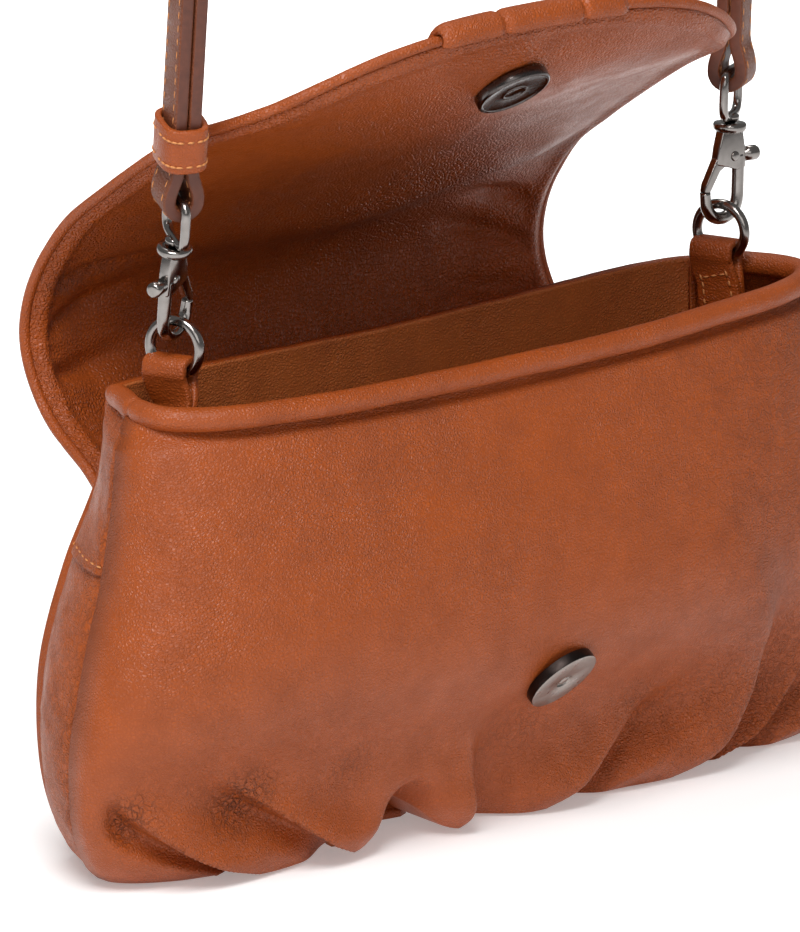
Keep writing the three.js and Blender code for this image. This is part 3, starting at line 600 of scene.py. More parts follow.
def gussetPoint(sign, s, z, stand, detail=True):
    tf, tb = levelAt(frontTable["z"], z), levelAt(backTable["z"], z)
    near = Vector((sign * readColumn(frontTable["half"], tf), readColumn(frontTable["seamY"], tf) - 1.6, z))
    far = Vector((sign * readColumn(backTable["half"], tb), readColumn(backTable["seamY"], tb) + 2.0, z))
    point = near.lerp(far, s)
    bow = readColumn(gussetTable["bow"], levelAt(gussetTable["z"], z)) * math.sin(math.pi * s)
    span = (far - near).length
    edge = min(s, 1 - s) * span
    point.x += sign * (bow + stand)
    if detail:
        # tucked behind the front panel and inside the back one
        point.x -= sign * (max(stand, 0) + 0.9) * (1 - smoothstep(s * span, 0.8, 4.5))
        point.x -= sign * (max(stand, 0) + 1.6) * (1 - smoothstep((1 - s) * span, 0.6, 4.0))
        crinkle = noise.noise(Vector((point.y / 8, z / 4.5, sign * 4.0)))
        point.x += sign * 0.5 * crinkle * smoothstep(edge, 1.5, 6)
        point.x -= sign * frontPanel["shoulder"] * smoothstep(z, 99, 106.5) * (1 - smoothstep(s, 0.45, 1.0))
    point.z += raised(point.x, z)
    return point


# each gusset point carries the same wrinkle amount, whose lines the leather paints darker as painted shade
def gussetGrid(sign, top, bottom, stand):
    return shapedGrid(
        gussets["cols"], gussets["rows"],
        lambda u, v: (gussetPoint(sign, u, bottom + (top - bottom) * v, stand), gussets["crackleAndShade"]),
        flip=sign < 0,
    )


stitchesBm = bmesh.new()
for side, sign in (("left", -1), ("right", 1)):
    lowBm = gussetGrid(sign, gussets["underTop"], 0.6, -0.6)
    lower = makeObject(side + "_gusset_leather", lowBm, [tanGussetLit, tanLiningLit], [side + "_gusset"])
    thicken(lower, gussets["thick"], 1)
    topBm = gussetGrid(sign, gussets["top"], gussets["overlayFoot"], 0.5)
    upper = makeObject(side + "_gusset_top_leather", topBm, [tanGussetLit], [side + "_gusset_top"])
    thicken(upper, gussets["topThick"])
    for i in range(7):
        s = 0.12 + 0.76 * i / 6
        at = gussetPoint(sign, s, gussets["overlayFoot"] + 1.8, 0.6)
        ahead = gussetPoint(sign, s + 0.04, gussets["overlayFoot"] + 1.8, 0.6) - at
        addStitch(stitchesBm, at, ahead, Vector((sign, 0, 0)), 2.2, 0.28)
print("gussets made")

# flat base
baseBm = shapedGrid(
    90, 24,
    lambda u, v: frontPoint(0.985 * crowded(2 * u - 1), 1, False)[0].lerp(
        backPoint(0.985 * crowded(2 * u - 1), 1, False)[0], 0.42 + 0.54 * v),
    flip=True,
)
for vert in baseBm.verts:
    vert.co.z = 0.05
base = makeObject("base_leather", baseBm, [tanCalf], ["base"])
thicken(base, 2.2)
print("base made")

# padded roll round the mouth
rimRoll = {"radius": 2.75, "steps": 420, "sides": 22, "rise": 2.8, "joinAt": 0.075, "easing": 60}
rollPoints = []
for c in range(12):
    rollPoints.append(gussetPoint(-1, 0.9 * (1 - c / 12), gussets["rim"], -1.0))
for i in range(1, 80):
    rollPoints.append(frontPoint(crowded(2 * i / 80 - 1), 0)[0] - Vector((0, 1.8, 1.6)))
for c in range(1, 13):
    rollPoints.append(gussetPoint(1, 0.9 * c / 12, gussets["rim"], -1.0))
rollPath = smoothPath(rollPoints, rimRoll["steps"])
for _ in range(rimRoll["easing"]):
    rollPath[1:-1] = [(p + 2 * q + r) / 4 for p, q, r in zip(rollPath, rollPath[1:], rollPath[2:])]
for p in rollPath:
    p.z += rimRoll["rise"] + 0.5 * noise.noise(Vector((p.x / 26, p.y / 26, 2.2)))
    p.y += 0.5 * noise.noise(Vector((p.x / 22, p.y / 22, 6.2)))


def rollRadius(i, k):
    p = rollPath[i]
    r = rimRoll["radius"] * (1 + 0.05 * noise.noise(Vector((p.x / 9, p.y / 9, k / 3.0))))
    seam = math.exp(-((i - rimRoll["joinAt"] * rimRoll["steps"]) / 1.4) ** 2)
    ends = min(i, rimRoll["steps"] - i)
    return (r - 0.5 * seam) * (0.3 + 0.7 * math.sqrt(min(ends / 7, 1)))


rollFrames = carriedFrames(rollPath, Vector((0, 0, 1)))
rollBm = sweptBar(rollPath, roundSection(rimRoll["sides"], rollRadius), rollFrames)
makeObject("rim_roll_leather", rollBm, [tanCalf], ["rim_roll"])
print("rim roll made")

# flap
flapTable = {
    "y": [40.2, 39.9, 48, 62, 70, 67.5, 56.5, 39.5, 17, -6.8, -22],
    "z": [62, 71, 79.5, 90.5, 104.5, 119, 133, 144.5, 156.5, 170.5, 187.5],
    "edgeY": [38.9, 38.6, 48, 62.5, 70.5, 68.5, 57, 40, 18, -5, -22],
    "edgeZ": [63, 73, 83.5, 93.5, 107, 121, 136.5, 148.5, 162, 173, 187.5],
    "half": [77, 77, 77.5, 77.5, 77.5, 77.5, 77.5, 78, 77.8, 76.8, 76],
}
flapSetup = {
    "cols": 200, "rows": 200, "thick": 2.4, "ears": 0.811, "tipRound": 2.1, "snapAlong": 0.9,
    "piping": 1.3, "length": 195.0, "folds": ((0.43, 0.15), (0.355, 0.1), (0.5, 0.12)),
}


def flapPlain(u, along):
    lift = abs(u) ** 2.2
    y, z = readColumn(flapTable["y"], along), readColumn(flapTable["z"], along)
    y += (readColumn(flapTable["edgeY"], along) - y) * lift
    z += (readColumn(flapTable["edgeZ"], along) - z) * lift
    return Vector((readColumn(flapTable["half"], along) * u, y, z))


def flapEnd(u):
    n = flapSetup["tipRound"]
    return flapSetup["ears"] + (1 - flapSetup["ears"]) * max(1 - abs(u) ** n, 0) ** (1 / n)


def flapFrame(u, along):
    d = 0.004
    across = (flapPlain(u + d, along) - flapPlain(u - d, along)).normalized()
    ahead = (flapPlain(u, min(along + d, 1)) - flapPlain(u, along - d)).normalized()
    return across, ahead, ahead.cross(across).normalized()


def flapPoint(u, share):
    along = flapEnd(u) * share
    point = flapPlain(u, along)
    outward = flapFrame(u, along)[2]
    fromSide = (1 - abs(u)) * 77.5
    fromTip = (flapEnd(u) - along) * flapSetup["length"]
    edge = min(fromSide, fromTip)
    puff = 1.1 * math.exp(-((edge - 3.2) / 1.9) ** 2) - 0.5 * math.exp(-((edge) / 1.0) ** 2)
    bendZone = smoothstep(along, 0.12, 0.24) * smoothstep(along, 0.66, 0.42)
    run = along * flapSetup["length"]
    gather = noise.noise(Vector((run / 5.2, 0.4 * fromSide / 9, math.copysign(2.0, u))))
    gather += 0.5 * noise.noise(Vector((run / 2.4, fromSide / 12, math.copysign(7.0, u))))
    wrinkle = 1.3 * gather * math.exp(-fromSide / 14) * bendZone * smoothstep(fromSide, 2.5, 6)
    for start, slope in flapSetup["folds"]:
        away = along - start - slope * (0.95 - abs(u))
        inFold = math.exp(-((away / 0.016) ** 2))
        wrinkle -= 2.4 * inFold * smoothstep(fromSide, 3.5, 9) * smoothstep(abs(u), 0.5, 0.8)
    broad = noise.noise(Vector((point.x / 30, run / 24, 9.4))) * 0.9 * smoothstep(along, 0.05, 0.25)
    foldLine = 0.55 + 0.1 * smoothstep(u, 0.0, 0.75) - 0.03 * smoothstep(u, 0.8, 1.0)
    past = along - foldLine
    foldHeight = 1.2 + 2.8 * smoothstep(u, -0.2, 0.7)
    fold = foldHeight * math.exp(-(past / (0.07 if past > 0 else 0.035)) ** 2) * smoothstep(fromSide, 1, 26)
    patch = 0.3 * smoothstep(u - (0.3 - 1.25 * (along - 0.68)), 0.0, 0.012) * smoothstep(along, 0.66, 0.7)
    hollow = 4.0 * smoothstep(fromSide, 4, 20) * smoothstep(along, 0.1, 0.25) * smoothstep(along, 0.58, 0.45)
    # wrinkle amount: the gathers near the side edges, and a band of painted shade along the fold line
    creaseShadeMark = max(0.3 * math.exp(-fromSide / 12) * bendZone, 0.5 * math.exp(-((past + 0.03) / 0.04) ** 2))
    rise = puff + wrinkle + fold - patch - hollow + broad * smoothstep(edge, 0, 10)
    return point - outward * rise, min(creaseShadeMark, 1.0)


flapBm = shapedGrid(flapSetup["cols"], flapSetup["rows"], lambda u, v: flapPoint(crowded(2 * u - 1), v))
flapPiece = makeObject("flap_leather", flapBm, [tanFlap], ["flap"])
thicken(flapPiece, flapSetup["thick"])
print("flap made")

# piping round the flap
edgePlaces = [(-1, flapEnd(1) * s / 60) for s in range(9, 60)]
edgePlaces += [(crowded(2 * i / 160 - 1), flapEnd(crowded(2 * i / 160 - 1))) for i in range(161)]
edgePlaces += [(1, flapEnd(1) * s / 60) for s in range(59, 8, -1)]
edgeMiddle = [
    flapPoint(u, a / flapEnd(u))[0] + flapFrame(u, a)[2] * flapSetup["thick"] * 0.5 for u, a in edgePlaces
]
pipingPoints = []
for i, (u, a) in enumerate(edgePlaces):
    run = edgeMiddle[min(i + 1, len(edgeMiddle) - 1)] - edgeMiddle[max(i - 1, 0)]
    out = run.cross(flapFrame(u, a)[2]).normalized()
    pipingPoints.append(edgeMiddle[i] + out * (flapSetup["piping"] - 0.6))
pipingPath = smoothPath(pipingPoints[::2], 420)


def pipingRadius(i, k):
    p = pipingPath[i]
    return flapSetup["piping"] * (1 + 0.06 * noise.noise(p / 6))


pipingFrames = carriedFrames(pipingPath, Vector((0, 0.3, 1)))
pipingBm = sweptBar(pipingPath, roundSection(14, pipingRadius), pipingFrames)
makeObject("flap_piping_leather", pipingBm, [tanCalf], ["flap_piping"])
print("piping made")

# band folded over the tip
band = {"mid": -7.0, "half": 27.0, "from": 0.595, "thick": 1.4, "seams": (-17.0, 6.5), "run": 0.72}


def bandPoint(u, v):
    x = band["mid"] + band["half"] * (2 * u - 1)
    place = x / readColumn(flapTable["half"], 1)
    end = flapEnd(place)
    along = band["from"] + (end - band["from"]) * min(v / band["run"], 1)
    across, ahead, outward = flapFrame(place, along)
    edge = min(u, 1 - u) * 2 * band["half"]
    puff = 0.5 * smoothstep(edge, 0, 3) - 0.5 * (1 - smoothstep(edge, 0, 1.2))
    for seam in band["seams"]:
        puff -= 0.9 * math.exp(-((x - seam) / 1.0) ** 2)
    curl = flapSetup["piping"] + 0.4 + band["thick"] + puff
    if v < band["run"]:
        return flapPlain(place, along) + outward * (flapSetup["thick"] + 0.3 + band["thick"] + puff)
    turn = math.radians(90 - 170 * (v - band["run"]) / (1 - band["run"]))
    return (
        flapPlain(place, along)
        + outward * (flapSetup["thick"] / 2 + curl * math.sin(turn))
        + ahead * (flapSetup["piping"] + 0.3 + curl * math.cos(turn))
    )


bandBm = shapedGrid(120, 110, bandPoint, flip=True)
thicken(makeObject("flap_band_leather", bandBm, [tanCalf], ["flap_band"]), band["thick"])
print("band made")


# magnetic snap
def discPiece(name, nodeName, centre, normal, profile, materials):
    bm = turnedDisc(profile, 72)
    turn = Vector((0, 0, 1)).rotation_difference(normal).to_matrix().to_4x4()
    bmesh.ops.transform(bm, matrix=Matrix.Translation(centre) @ turn, verts=bm.verts)
    piece = makeObject(name, bm, materials, [nodeName])
    # the edge of the disc takes the last material; on the front snap that is dark metal, partly the snap's
    # dark base and partly a painted dark reflection
    for polygon in piece.data.polygons:
        if abs(polygon.normal.dot(normal)) < 0.3 and (polygon.center / mm - centre).length > 8.5:
            polygon.material_index = len(materials) - 1  # the edge of the disc
    rounding = piece.modifiers.new("rounding", "BEVEL")
    rounding.width = 0.12 * mm
    rounding.segments = 2
    rounding.limit_method = "ANGLE"
    return piece


# outlines are radius and height, from the middle of the back round to the middle of the face
snaps = {
    "height": 35.7,
    "sunk": 0.45,
    "tilt": (0.12, 0.06, -0.12),
    "front": [
        (0, -1.2), (9.0, -1.2), (9.0, 1.15), (8.85, 1.3), (8.6, 1.35), (2.3, 1.35), (2.1, 1.25), (1.95, 0.7),
        (1.35, 0.65), (1.2, 1.1), (1.0, 1.2), (0, 1.2),
    ],
    "flap": [
        (0, -0.6), (9.0, -0.6), (9.0, 1.2), (8.8, 1.6), (8.45, 1.8), (8.05, 1.75), (7.8, 1.5), (3.3, 1.4),
        (3.0, 1.6), (2.6, 1.6), (2.3, 1.2), (0, 1.1),
    ],
}
snapLevel = levelAt(frontTable["z"], snaps["height"])
snapFoot = frontPoint(0, snapLevel, False)[0]
slope = frontPoint(0, snapLevel + 0.02, False)[0] - frontPoint(0, snapLevel - 0.02, False)[0]
snapNormal = Vector((0, slope.z, -slope.y)).normalized()
snapNormal = (snapNormal + Vector(snaps["tilt"])).normalized()
frontSnapAt = snapFoot + snapNormal * snaps["sunk"]
frontMetals = [satinNickel, darkEdgeReflection]
discPiece("front_snap_disc", "front_snap", frontSnapAt, snapNormal, snaps["front"], frontMetals)
snapInward = -flapFrame(0, flapSetup["snapAlong"])[2]
flapSnapAt = flapPlain(0, flapSetup["snapAlong"]) + snapInward * snaps["sunk"]
discPiece("flap_snap_disc", "flap_snap", flapSnapAt, snapInward, snaps["flap"], [darkNickel])
print("snaps made")

# strap ends: foot of the swivel, lean per unit of height, turns of hook, strap and ring
strapEnds = {
    "left": {
        "sign": -1, "foot": Vector((-85.0, 9.8, 141.6)), "lean": Vector((-0.106, -0.219, 1)).normalized(),
        "hook": -160, "strap": -21, "ring": 20,
    },
    "right": {
        "sign": 1, "foot": Vector((88.9, 17.0, 143.9)), "lean": Vector((0.04, 0, 1)).normalized(),
        "hook": 0, "strap": -57, "ring": 18,
    },
}
hardware = {
    "eyeTop": 14.4, "eyeFoot": 3.3, "eyeHalf": 6.6, "eyeWire": 1.1,
    "ringRadius": 6.4, "ringWire": 1.25, "ringPlay": 0.8,
    "hookMid": (-1.8, -16.0), "hookHole": 3.6, "hookThick": 2.8, "pivot": (0.8, -6.2),
}


def turned(end, degrees):
    about = Quaternion((0, 0, 1), math.radians(degrees))
    return Vector((0, 0, 1)).rotation_difference(end["lean"]) @ about


def placeAt(bm, end, degrees):
    matrix = Matrix.Translation(end["foot"]) @ turned(end, degrees).to_matrix().to_4x4()
    bmesh.ops.transform(bm, matrix=matrix, verts=bm.verts)


def joinInto(target, source):
    mesh = bpy.data.meshes.new("part")
    source.to_mesh(mesh)
    source.free()
    target.from_mesh(mesh)
    bpy.data.meshes.remove(mesh)


def makeEye(side, end):
    path = []
    middle = (hardware["eyeFoot"] + hardware["eyeTop"]) / 2
    tall = (hardware["eyeTop"] - hardware["eyeFoot"]) / 2
    for i in range(72):
        turn = 2 * math.pi * i / 72
        c, s = math.cos(turn), math.sin(turn)
        path.append(Vector((
            0,
            hardware["eyeHalf"] * math.copysign(abs(c) ** 0.5, c),
            middle + tall * math.copysign(abs(s) ** 0.5, s),
        )))
    frames = carriedFrames(path, Vector((1, 0, 0)), True)
    bm = sweptBar(path, roundSection(14, hardware["eyeWire"]), frames, True)
    joinInto(bm, turnedDisc([(0, 0.6), (1.3, 0.6), (1.3, 2.2), (2.2, 2.6), (2.2, 3.6), (1.4, 4.0), (0, 4.0)]))
    placeAt(bm, end, end["strap"])
    makeObject(side + "_eye_metal", bm, [blackNickel], [side + "_eye"])


def prism(outline, thick, rounding):
    # a plate cut to an outline in X and Z, its edges rounded over
    bm = bmesh.new()
    face = bm.faces.new([bm.verts.new((x, -thick / 2, z)) for x, z in outline])
    lifted = bmesh.ops.extrude_face_region(bm, geom=[face])["geom"]
    bmesh.ops.translate(bm, vec=(0, thick, 0), verts=[g for g in lifted if isinstance(g, bmesh.types.BMVert)])
    bmesh.ops.recalc_face_normals(bm, faces=bm.faces)
    bmesh.ops.bevel(
        bm, geom=bm.edges, offset=rounding, affect="EDGES", segments=3, profile=0.5, material=-1,
        clamp_overlap=True,
    )
    return bm


def makeHook(side, end):
    mx, mz = hardware["hookMid"]
    r = hardware["hookHole"] + 1.4
    path = [Vector((2.9, 0, -6.0)), Vector((3.1, 0, -9.0)), Vector((mx + r, 0, mz + 2.4))]
    for i in range(9):
        turn = -math.pi * i / 8
        path.append(Vector((mx + r * math.cos(turn), 0, mz + r * math.sin(turn))))
    path.append(Vector((mx - r - 0.2, 0, mz + 1.6)))
    path = smoothPath(path, 60)

    def wireRadius(i, k):
        return 1.5 - 0.2 * smoothstep(i, 46, 60)

    bm = sweptBar(path, roundSection(16, wireRadius), carriedFrames(path, Vector((0, 1, 0))))
    collar = [
        (0, -0.6), (2.9, -0.6), (3.7, 0.0), (4.0, 0.5), (4.0, 1.3), (3.7, 1.8), (1.6, 2.0), (1.6, 0.5),
        (0, 0.5),
    ]
    joinInto(bm, turnedDisc(collar))
    body = [
        (-3.1, 0.2), (3.2, 0.2), (4.1, -4.0), (4.5, -9.2), (1.8, -9.6), (-0.8, -8.8), (-4.6, -8.0),
        (-4.1, -4.0),
    ]
    joinInto(bm, prism(body, hardware["hookThick"], 0.5))
    for facing in (-1, 1):
        rivet = turnedDisc([(0, -0.2), (1.2, -0.2), (1.2, 0.15), (0.9, 0.4), (0, 0.45)], 24)
        turn = Matrix.Rotation(math.radians(-90 * facing), 4, "X")
        at = (hardware["pivot"][0], facing * hardware["hookThick"] / 2, hardware["pivot"][1])
        bmesh.ops.transform(rivet, matrix=Matrix.Translation(at) @ turn, verts=rivet.verts)
        joinInto(bm, rivet)
    placeAt(bm, end, end["hook"])
    makeObject(side + "_hook_metal", bm, [blackNickel], [side + "_hook"], side + "_hook_body")


def makeTrigger(side, end):
    px, pz = hardware["pivot"]
    gate = [
        (-2.6, pz + 0.8), (-4.5, pz - 0.2), (-7.6, -12.4), (-7.9, -14.3), (-6.3, -14.5), (-3.2, -9.4),
        (-1.4, -8.4),
    ]
    bm = prism(gate, 2.2, 0.35)
    knob = turnedDisc([
        (0, 0), (1.2, 0), (1.2, 1.9), (1.75, 2.1), (1.8, 5.2), (1.55, 5.7), (0.9, 5.9), (0, 5.9),
    ])
    turn = Matrix.Rotation(math.radians(90), 4, "Y")
    bmesh.ops.transform(knob, matrix=Matrix.Translation((3.0, 0, pz)) @ turn, verts=knob.verts)
    joinInto(bm, knob)
    placeAt(bm, end, end["hook"])
    body = side + "_trigger_body"
    makeObject(side + "_trigger_metal", bm, [blackNickel], [side + "_trigger"], body)


def ringCentre(end):
    level = hardware["hookMid"][1] - hardware["hookHole"] + hardware["ringPlay"] + hardware["ringWire"]
    top = end["foot"] + turned(end, end["hook"]) @ Vector((hardware["hookMid"][0], 0, level))
    return top - Vector((0, 0, hardware["ringRadius"]))


def makeRing(side, end):
    turn = math.radians(end["ring"])
    flat = Vector((-math.sin(turn), math.cos(turn), 0))
    centre = ringCentre(end)
    path = []
    for i in range(64):
        a = 2 * math.pi * i / 64
        path.append(centre + (flat * math.cos(a) + Vector((0, 0, math.sin(a)))) * hardware["ringRadius"])
    start = Vector((math.cos(turn), math.sin(turn), 0))
    bm = sweptBar(path, roundSection(16, hardware["ringWire"]), carriedFrames(path, start, True), True)
    makeObject(side + "_ring_metal", bm, [blackNickel], [side + "_ring"])


tabs = {"wide": 11.0, "ring": 9.0, "thick": 1.9, "ply": 1.0, "inset": 3.7}


def makeTab(side, end):
    # one strip: up the wall, over the ring and back down beside itself
    centre = ringCentre(end)
    turn = math.radians(end["ring"])
    flat = Vector((math.cos(turn), math.sin(turn), 0)) * end["sign"]
    half = hardware["ringWire"] + 0.6 + tabs["thick"] / 2
    inner = hardware["ringRadius"] - hardware["ringWire"]
    crown = -math.sqrt(inner**2 - (tabs["ring"] / 2) ** 2) - 0.9
    foot = -hardware["ringRadius"] - 1.85

    def wall(z):
        return gussetPoint(end["sign"], 0.5, z, -tabs["inset"], False)

    low = centre + Vector((0, 0, foot - 2.6))
    hang = low - Vector((0, 0, 9))
    legs = [
        wall(80), wall(85), wall(89).lerp(hang, 0.55), hang.lerp(low, 0.35).lerp(wall(92), 0.1),
        low.lerp(hang, 0.2),
    ]
    heads = directions(legs + [low])
    wallTurn = math.radians(28 * end["sign"])
    outs = []
    for i, leg in enumerate(legs):
        yaw = wallTurn + (turn - wallTurn) * smoothstep(i, 2, 5)
        wide = Vector((-math.sin(yaw), math.cos(yaw), 0))
        outs.append(heads[i].cross(wide).normalized() * (1 if heads[i].cross(wide).dot(flat) > 0 else -1))
    points = [leg + out * tabs["ply"] for leg, out in zip(legs, outs)]
    loop = [(half * 0.75, foot + 0.6), (half, foot + 2.6), (half, crown - 2.0)]
    for i in range(1, 6):
        a = math.pi * i / 6
        loop.append((half * math.cos(a), crown - 0.95 + (half - 0.9) * math.sin(a)))
    loop += [(-half, crown - 2.0), (-half, foot + 2.6), (-half * 0.75, foot + 0.6)]
    aside = Vector((-math.sin(turn), math.cos(turn), 0)) * 1.2
    points += [centre + aside + flat * a + Vector((0, 0, b)) for a, b in loop]
    points += [leg - out * tabs["ply"] for leg, out in reversed(list(zip(legs, outs)))]
    path = smoothPath(points, 150)
    frames = []
    for p, ahead in zip(path, directions(path)):
        share = smoothstep(p.z, legs[2].z, low.z + 3)
        yaw = wallTurn + (turn - wallTurn) * share
        wide = Vector((-math.sin(yaw), math.cos(yaw), 0))
        wide = (wide - ahead * wide.dot(ahead)).normalized()
        frames.append((wide, ahead.cross(wide)))
    bm = sweptBar(path, flatSection(tabs["wide"], tabs["thick"], 0.6), frames)
    makeObject(side + "_tab_leather", bm, [tanCalf], [side + "_tab"])
    # box of stitches on the ply that faces into the bag
    inside = [(p, f) for p, f in list(zip(path, frames))[90:] if legs[2].z - 1 < p.z < low.z + 0.5]
    out = -flat
    proud = out * (tabs["thick"] / 2 + 0.08)
    for i in range(0, len(inside) - 1, 4):
        p, f = inside[i]
        for sideways in (-3.6, 3.6):
            addStitch(stitchesBm, p + f[0] * sideways + proud, inside[i + 1][0] - p, out, 2.0, 0.3)
    for sideways in (-2.3, 0, 2.3):
        p, f = inside[0]
        addStitch(stitchesBm, p + f[0] * sideways + proud, f[0], out, 2.0, 0.3)


for side, end in strapEnds.items():
    makeEye(side, end)
    makeHook(side, end)
    makeTrigger(side, end)
    makeRing(side, end)
    makeTab(side, end)
print("hardware made")

# strap
strapSetup = {
    "wide": 10.0, "thick": 3.0, "spread": 1.65, "turn": 3.3, "tail": 110.0, "archFoot": 545.0,
    "stitch": 3.2, "inset": 1.6, "easing": 40,
}
for end in strapEnds.values():
    end["bar"] = end["foot"] + turned(end, end["strap"]) @ Vector((0, 0, hardware["eyeTop"]))


def strandPoint(end, height, off):
    return end["bar"] + end["lean"] * height + turned(end, end["strap"]) @ Vector((off, 0, 0))


def plyOffset(height):
    spread, turn = strapSetup["spread"], strapSetup["turn"]
    return spread + (turn - spread) * (1 - smoothstep(height, 0.5, 8))


def strandRun(end, shortSide):
    heights = [strapSetup["tail"], 96, 82, 68, 54, 42, 32, 24, 18, 14, 11, 9, 7.5, 6, 5, 4, 3, 2, 1]
    run = [strandPoint(end, h, shortSide * plyOffset(h)) for h in heights]
    for i in range(17):
        a = math.pi * i / 16
        down, aside = strapSetup["turn"] * math.sin(a), strapSetup["turn"] * math.cos(a)
        run.append(strandPoint(end, -down, shortSide * aside))
    run += [strandPoint(end, h, -shortSide * plyOffset(h)) for h in reversed(heights)]
    return run


leftEnd, rightEnd = strapEnds["left"], strapEnds["right"]
leftRun = strandRun(leftEnd, 1)
rightRun = strandRun(rightEnd, -1)[::-1]
leftTop, rightTop = leftRun[-1], rightRun[0]
archMid = (leftTop.x + rightTop.x) / 2
archHalf = (rightTop.x - leftTop.x) / 2 + 2
archPoints = []
for i in range(7):
    a = math.pi * (1 - i / 6)
    y = leftTop.y + (rightTop.y - leftTop.y) * i / 6
    z = strapSetup["archFoot"] + archHalf * math.sin(a)
    archPoints.append(Vector((archMid + archHalf * math.cos(a), y, z)))
crownPoints = [
    leftTop - leftEnd["lean"] * 30, leftTop, Vector((leftTop.x - 5, leftTop.y - 8, 380)), *archPoints,
    Vector((rightTop.x + 3, rightTop.y, 380)), rightTop, rightTop - rightEnd["lean"] * 30,
]
spans = len(crownPoints) - 1
crownRun = []
for i in range(1, 120):
    t = (1 + (spans - 2) * i / 120) / spans
    crownRun.append(Vector([readColumn([p[k] for p in crownPoints], t) for k in range(3)]))
for _ in range(strapSetup["easing"]):
    crownRun[1:-1] = [(p + 2 * q + r) / 4 for p, q, r in zip(crownRun, crownRun[1:], crownRun[2:])]
strapPath = leftRun + crownRun + rightRun
strapFrames = []
leftWide = turned(leftEnd, leftEnd["strap"]) @ Vector((0, 1, 0))
rightWide = turned(rightEnd, rightEnd["strap"]) @ Vector((0, 1, 0))
for i, ahead in enumerate(directions(strapPath)):
    share = min(max((i - len(leftRun)) / len(crownRun), 0), 1)
    wide = leftWide.lerp(rightWide, share)
    wide = (wide - ahead * wide.dot(ahead)).normalized()
    strapFrames.append((wide, ahead.cross(wide)))
strapBm = sweptBar(strapPath, flatSection(strapSetup["wide"], strapSetup["thick"], 0.7), strapFrames)
strapPiece = makeObject("strap_leather", strapBm, [strapCalf, edgePaint], ["strap"])
for polygon in strapPiece.data.polygons:
    centre = polygon.center / mm
    near = min(range(len(strapPath)), key=lambda j: (strapPath[j] - centre).length_squared)
    if abs(polygon.normal.dot(strapFrames[near][0])) > 0.75:
        polygon.material_index = 1
run = 0.0
nextStitch = 0.0
for i in range(1, len(strapPath)):
    run += (strapPath[i] - strapPath[i - 1]).length
    while run >= nextStitch:
        back = (run - nextStitch) / max((strapPath[i] - strapPath[i - 1]).length, 1e-6)
        p = strapPath[i].lerp(strapPath[i - 1], min(back, 1))
        wide, face = strapFrames[i]
        ahead = strapPath[i] - strapPath[i - 1]
        for a in (-1, 1):
            for b in (-1, 1):
                at = p + wide * a * (strapSetup["wide"] / 2 - strapSetup["inset"])
                at += face * b * strapSetup["thick"] / 2
                addStitch(stitchesBm, at, ahead, face * b, 2.1, 0.22)
        nextStitch += strapSetup["stitch"]
print("strap made")

# keeper round the left strand
keeper = {"tall": 10.5, "from": 8.2, "wall": 1.5, "holeX": 3.8, "holeY": 5.6, "square": 0.62}
ax, ay = keeper["holeX"] + keeper["wall"] / 2, keeper["holeY"] + keeper["wall"] / 2
loopPath = []
for i in range(64):
    c, n = math.cos(2 * math.pi * i / 64), math.sin(2 * math.pi * i / 64)
    x = ax * math.copysign(abs(c) ** keeper["square"], c)
    y = ay * math.copysign(abs(n) ** keeper["square"], n)
    loopPath.append(Vector((x, y, 0)))
keeperTurn = turned(leftEnd, leftEnd["strap"])
keeperMid = strandPoint(leftEnd, keeper["from"] + keeper["tall"] / 2, 0)
worldLoop = [keeperMid + keeperTurn @ p for p in loopPath]
keeperFrames = []
for ahead in directions(worldLoop, True):
    upright = leftEnd["lean"]
    keeperFrames.append((upright, ahead.cross(upright)))
keeperBm = sweptBar(worldLoop, flatSection(keeper["tall"], keeper["wall"], 0.5), keeperFrames, True)
makeObject("strap_keeper_leather", keeperBm, [tanCalf], ["strap_keeper"])
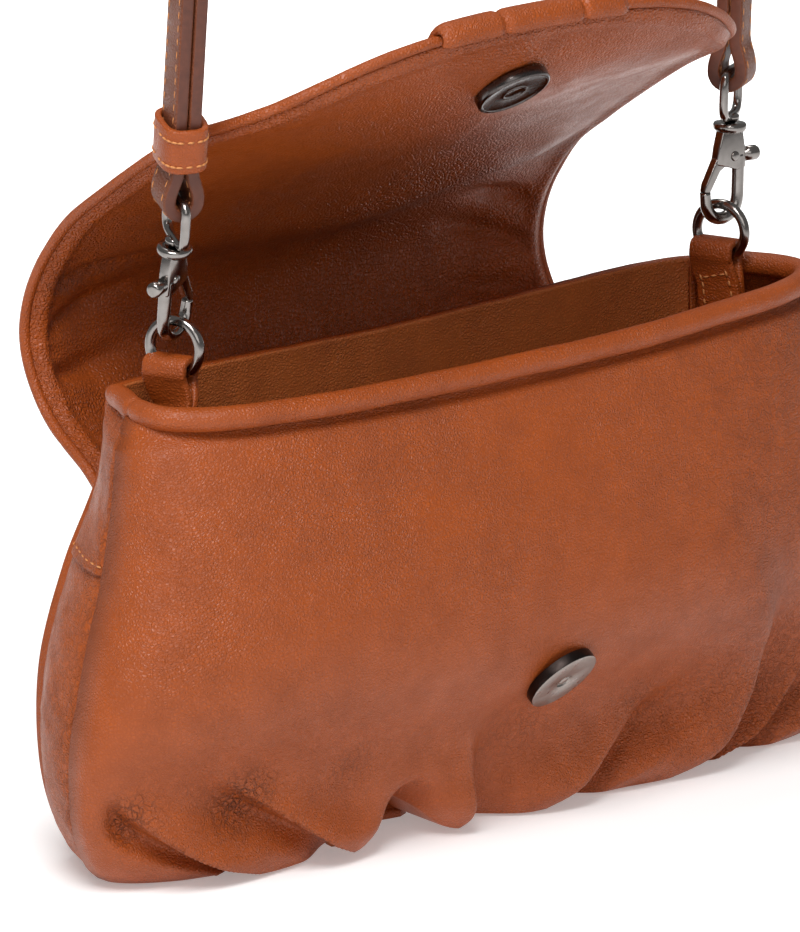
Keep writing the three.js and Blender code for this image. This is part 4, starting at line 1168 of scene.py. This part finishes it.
for i in range(0, len(worldLoop), 3):
    p = worldLoop[i]
    ahead = worldLoop[(i + 1) % len(worldLoop)] - worldLoop[i - 1]
    face = keeperFrames[i][1]
    out = face if face.dot(p - keeperMid) > 0 else -face
    for h in (-3.4, 2.6):
        at = p + leftEnd["lean"] * h + out * (keeper["wall"] / 2 + 0.05)
        addStitch(stitchesBm, at, ahead, out, 1.9, 0.3)
makeObject("stitching", stitchesBm, [orangeThread])
print("keeper and stitching made")

# studio
studio = {"floor": 6.0}


def makeFloor():
    bm = bmesh.new()
    bmesh.ops.create_grid(bm, x_segments=1, y_segments=1, size=studio["floor"])
    mesh = bpy.data.meshes.new("floor")
    bm.to_mesh(mesh)
    bm.free()
    material, tree, shader = newMaterial("pale_floor")
    shader.inputs["Base Color"].default_value = (0.9, 0.9, 0.9, 1)
    shader.inputs["Roughness"].default_value = 0.9
    shader.inputs["Specular IOR Level"].default_value = 0.1
    shader.inputs["Emission Color"].default_value = (1, 1, 1, 1)
    shader.inputs["Emission Strength"].default_value = 0.27
    mesh.materials.append(material)
    floor = bpy.data.objects.new("floor", mesh)
    bpy.context.scene.collection.objects.link(floor)


def areaLight(name, place, target, size, power, spread=180):
    data = bpy.data.lights.new(name, "AREA")
    data.energy = power
    data.shape = "RECTANGLE"
    data.size, data.size_y = size
    data.spread = math.radians(spread)
    lamp = bpy.data.objects.new(name, data)
    bpy.context.scene.collection.objects.link(lamp)
    toward = Vector(target) - Vector(place)
    lamp.matrix_world = Matrix.Translation(place) @ toward.to_track_quat("-Z", "Y").to_matrix().to_4x4()


makeFloor()
areaLight("overhead", (-0.58, -0.4, 1.05), (0, 0, 0.05), (0.6, 0.6), 13)
areaLight("front", (-0.9, -1.4, 0.8), (0, 0, 0.1), (1.2, 0.8), 3.5)
areaLight("backdrop", (0.75, 0.95, 1.2), (0.75, 0.95, 0), (1.4, 1.4), 13, 75)
world = bpy.data.worlds.new("studio")
bpy.context.scene.world = world
world.use_nodes = True
world.node_tree.nodes["Background"].inputs["Color"].default_value = (1, 1, 1, 1)
world.node_tree.nodes["Background"].inputs["Strength"].default_value = 0.2
bpy.context.scene.view_settings.view_transform = "Standard"
print("studio made")
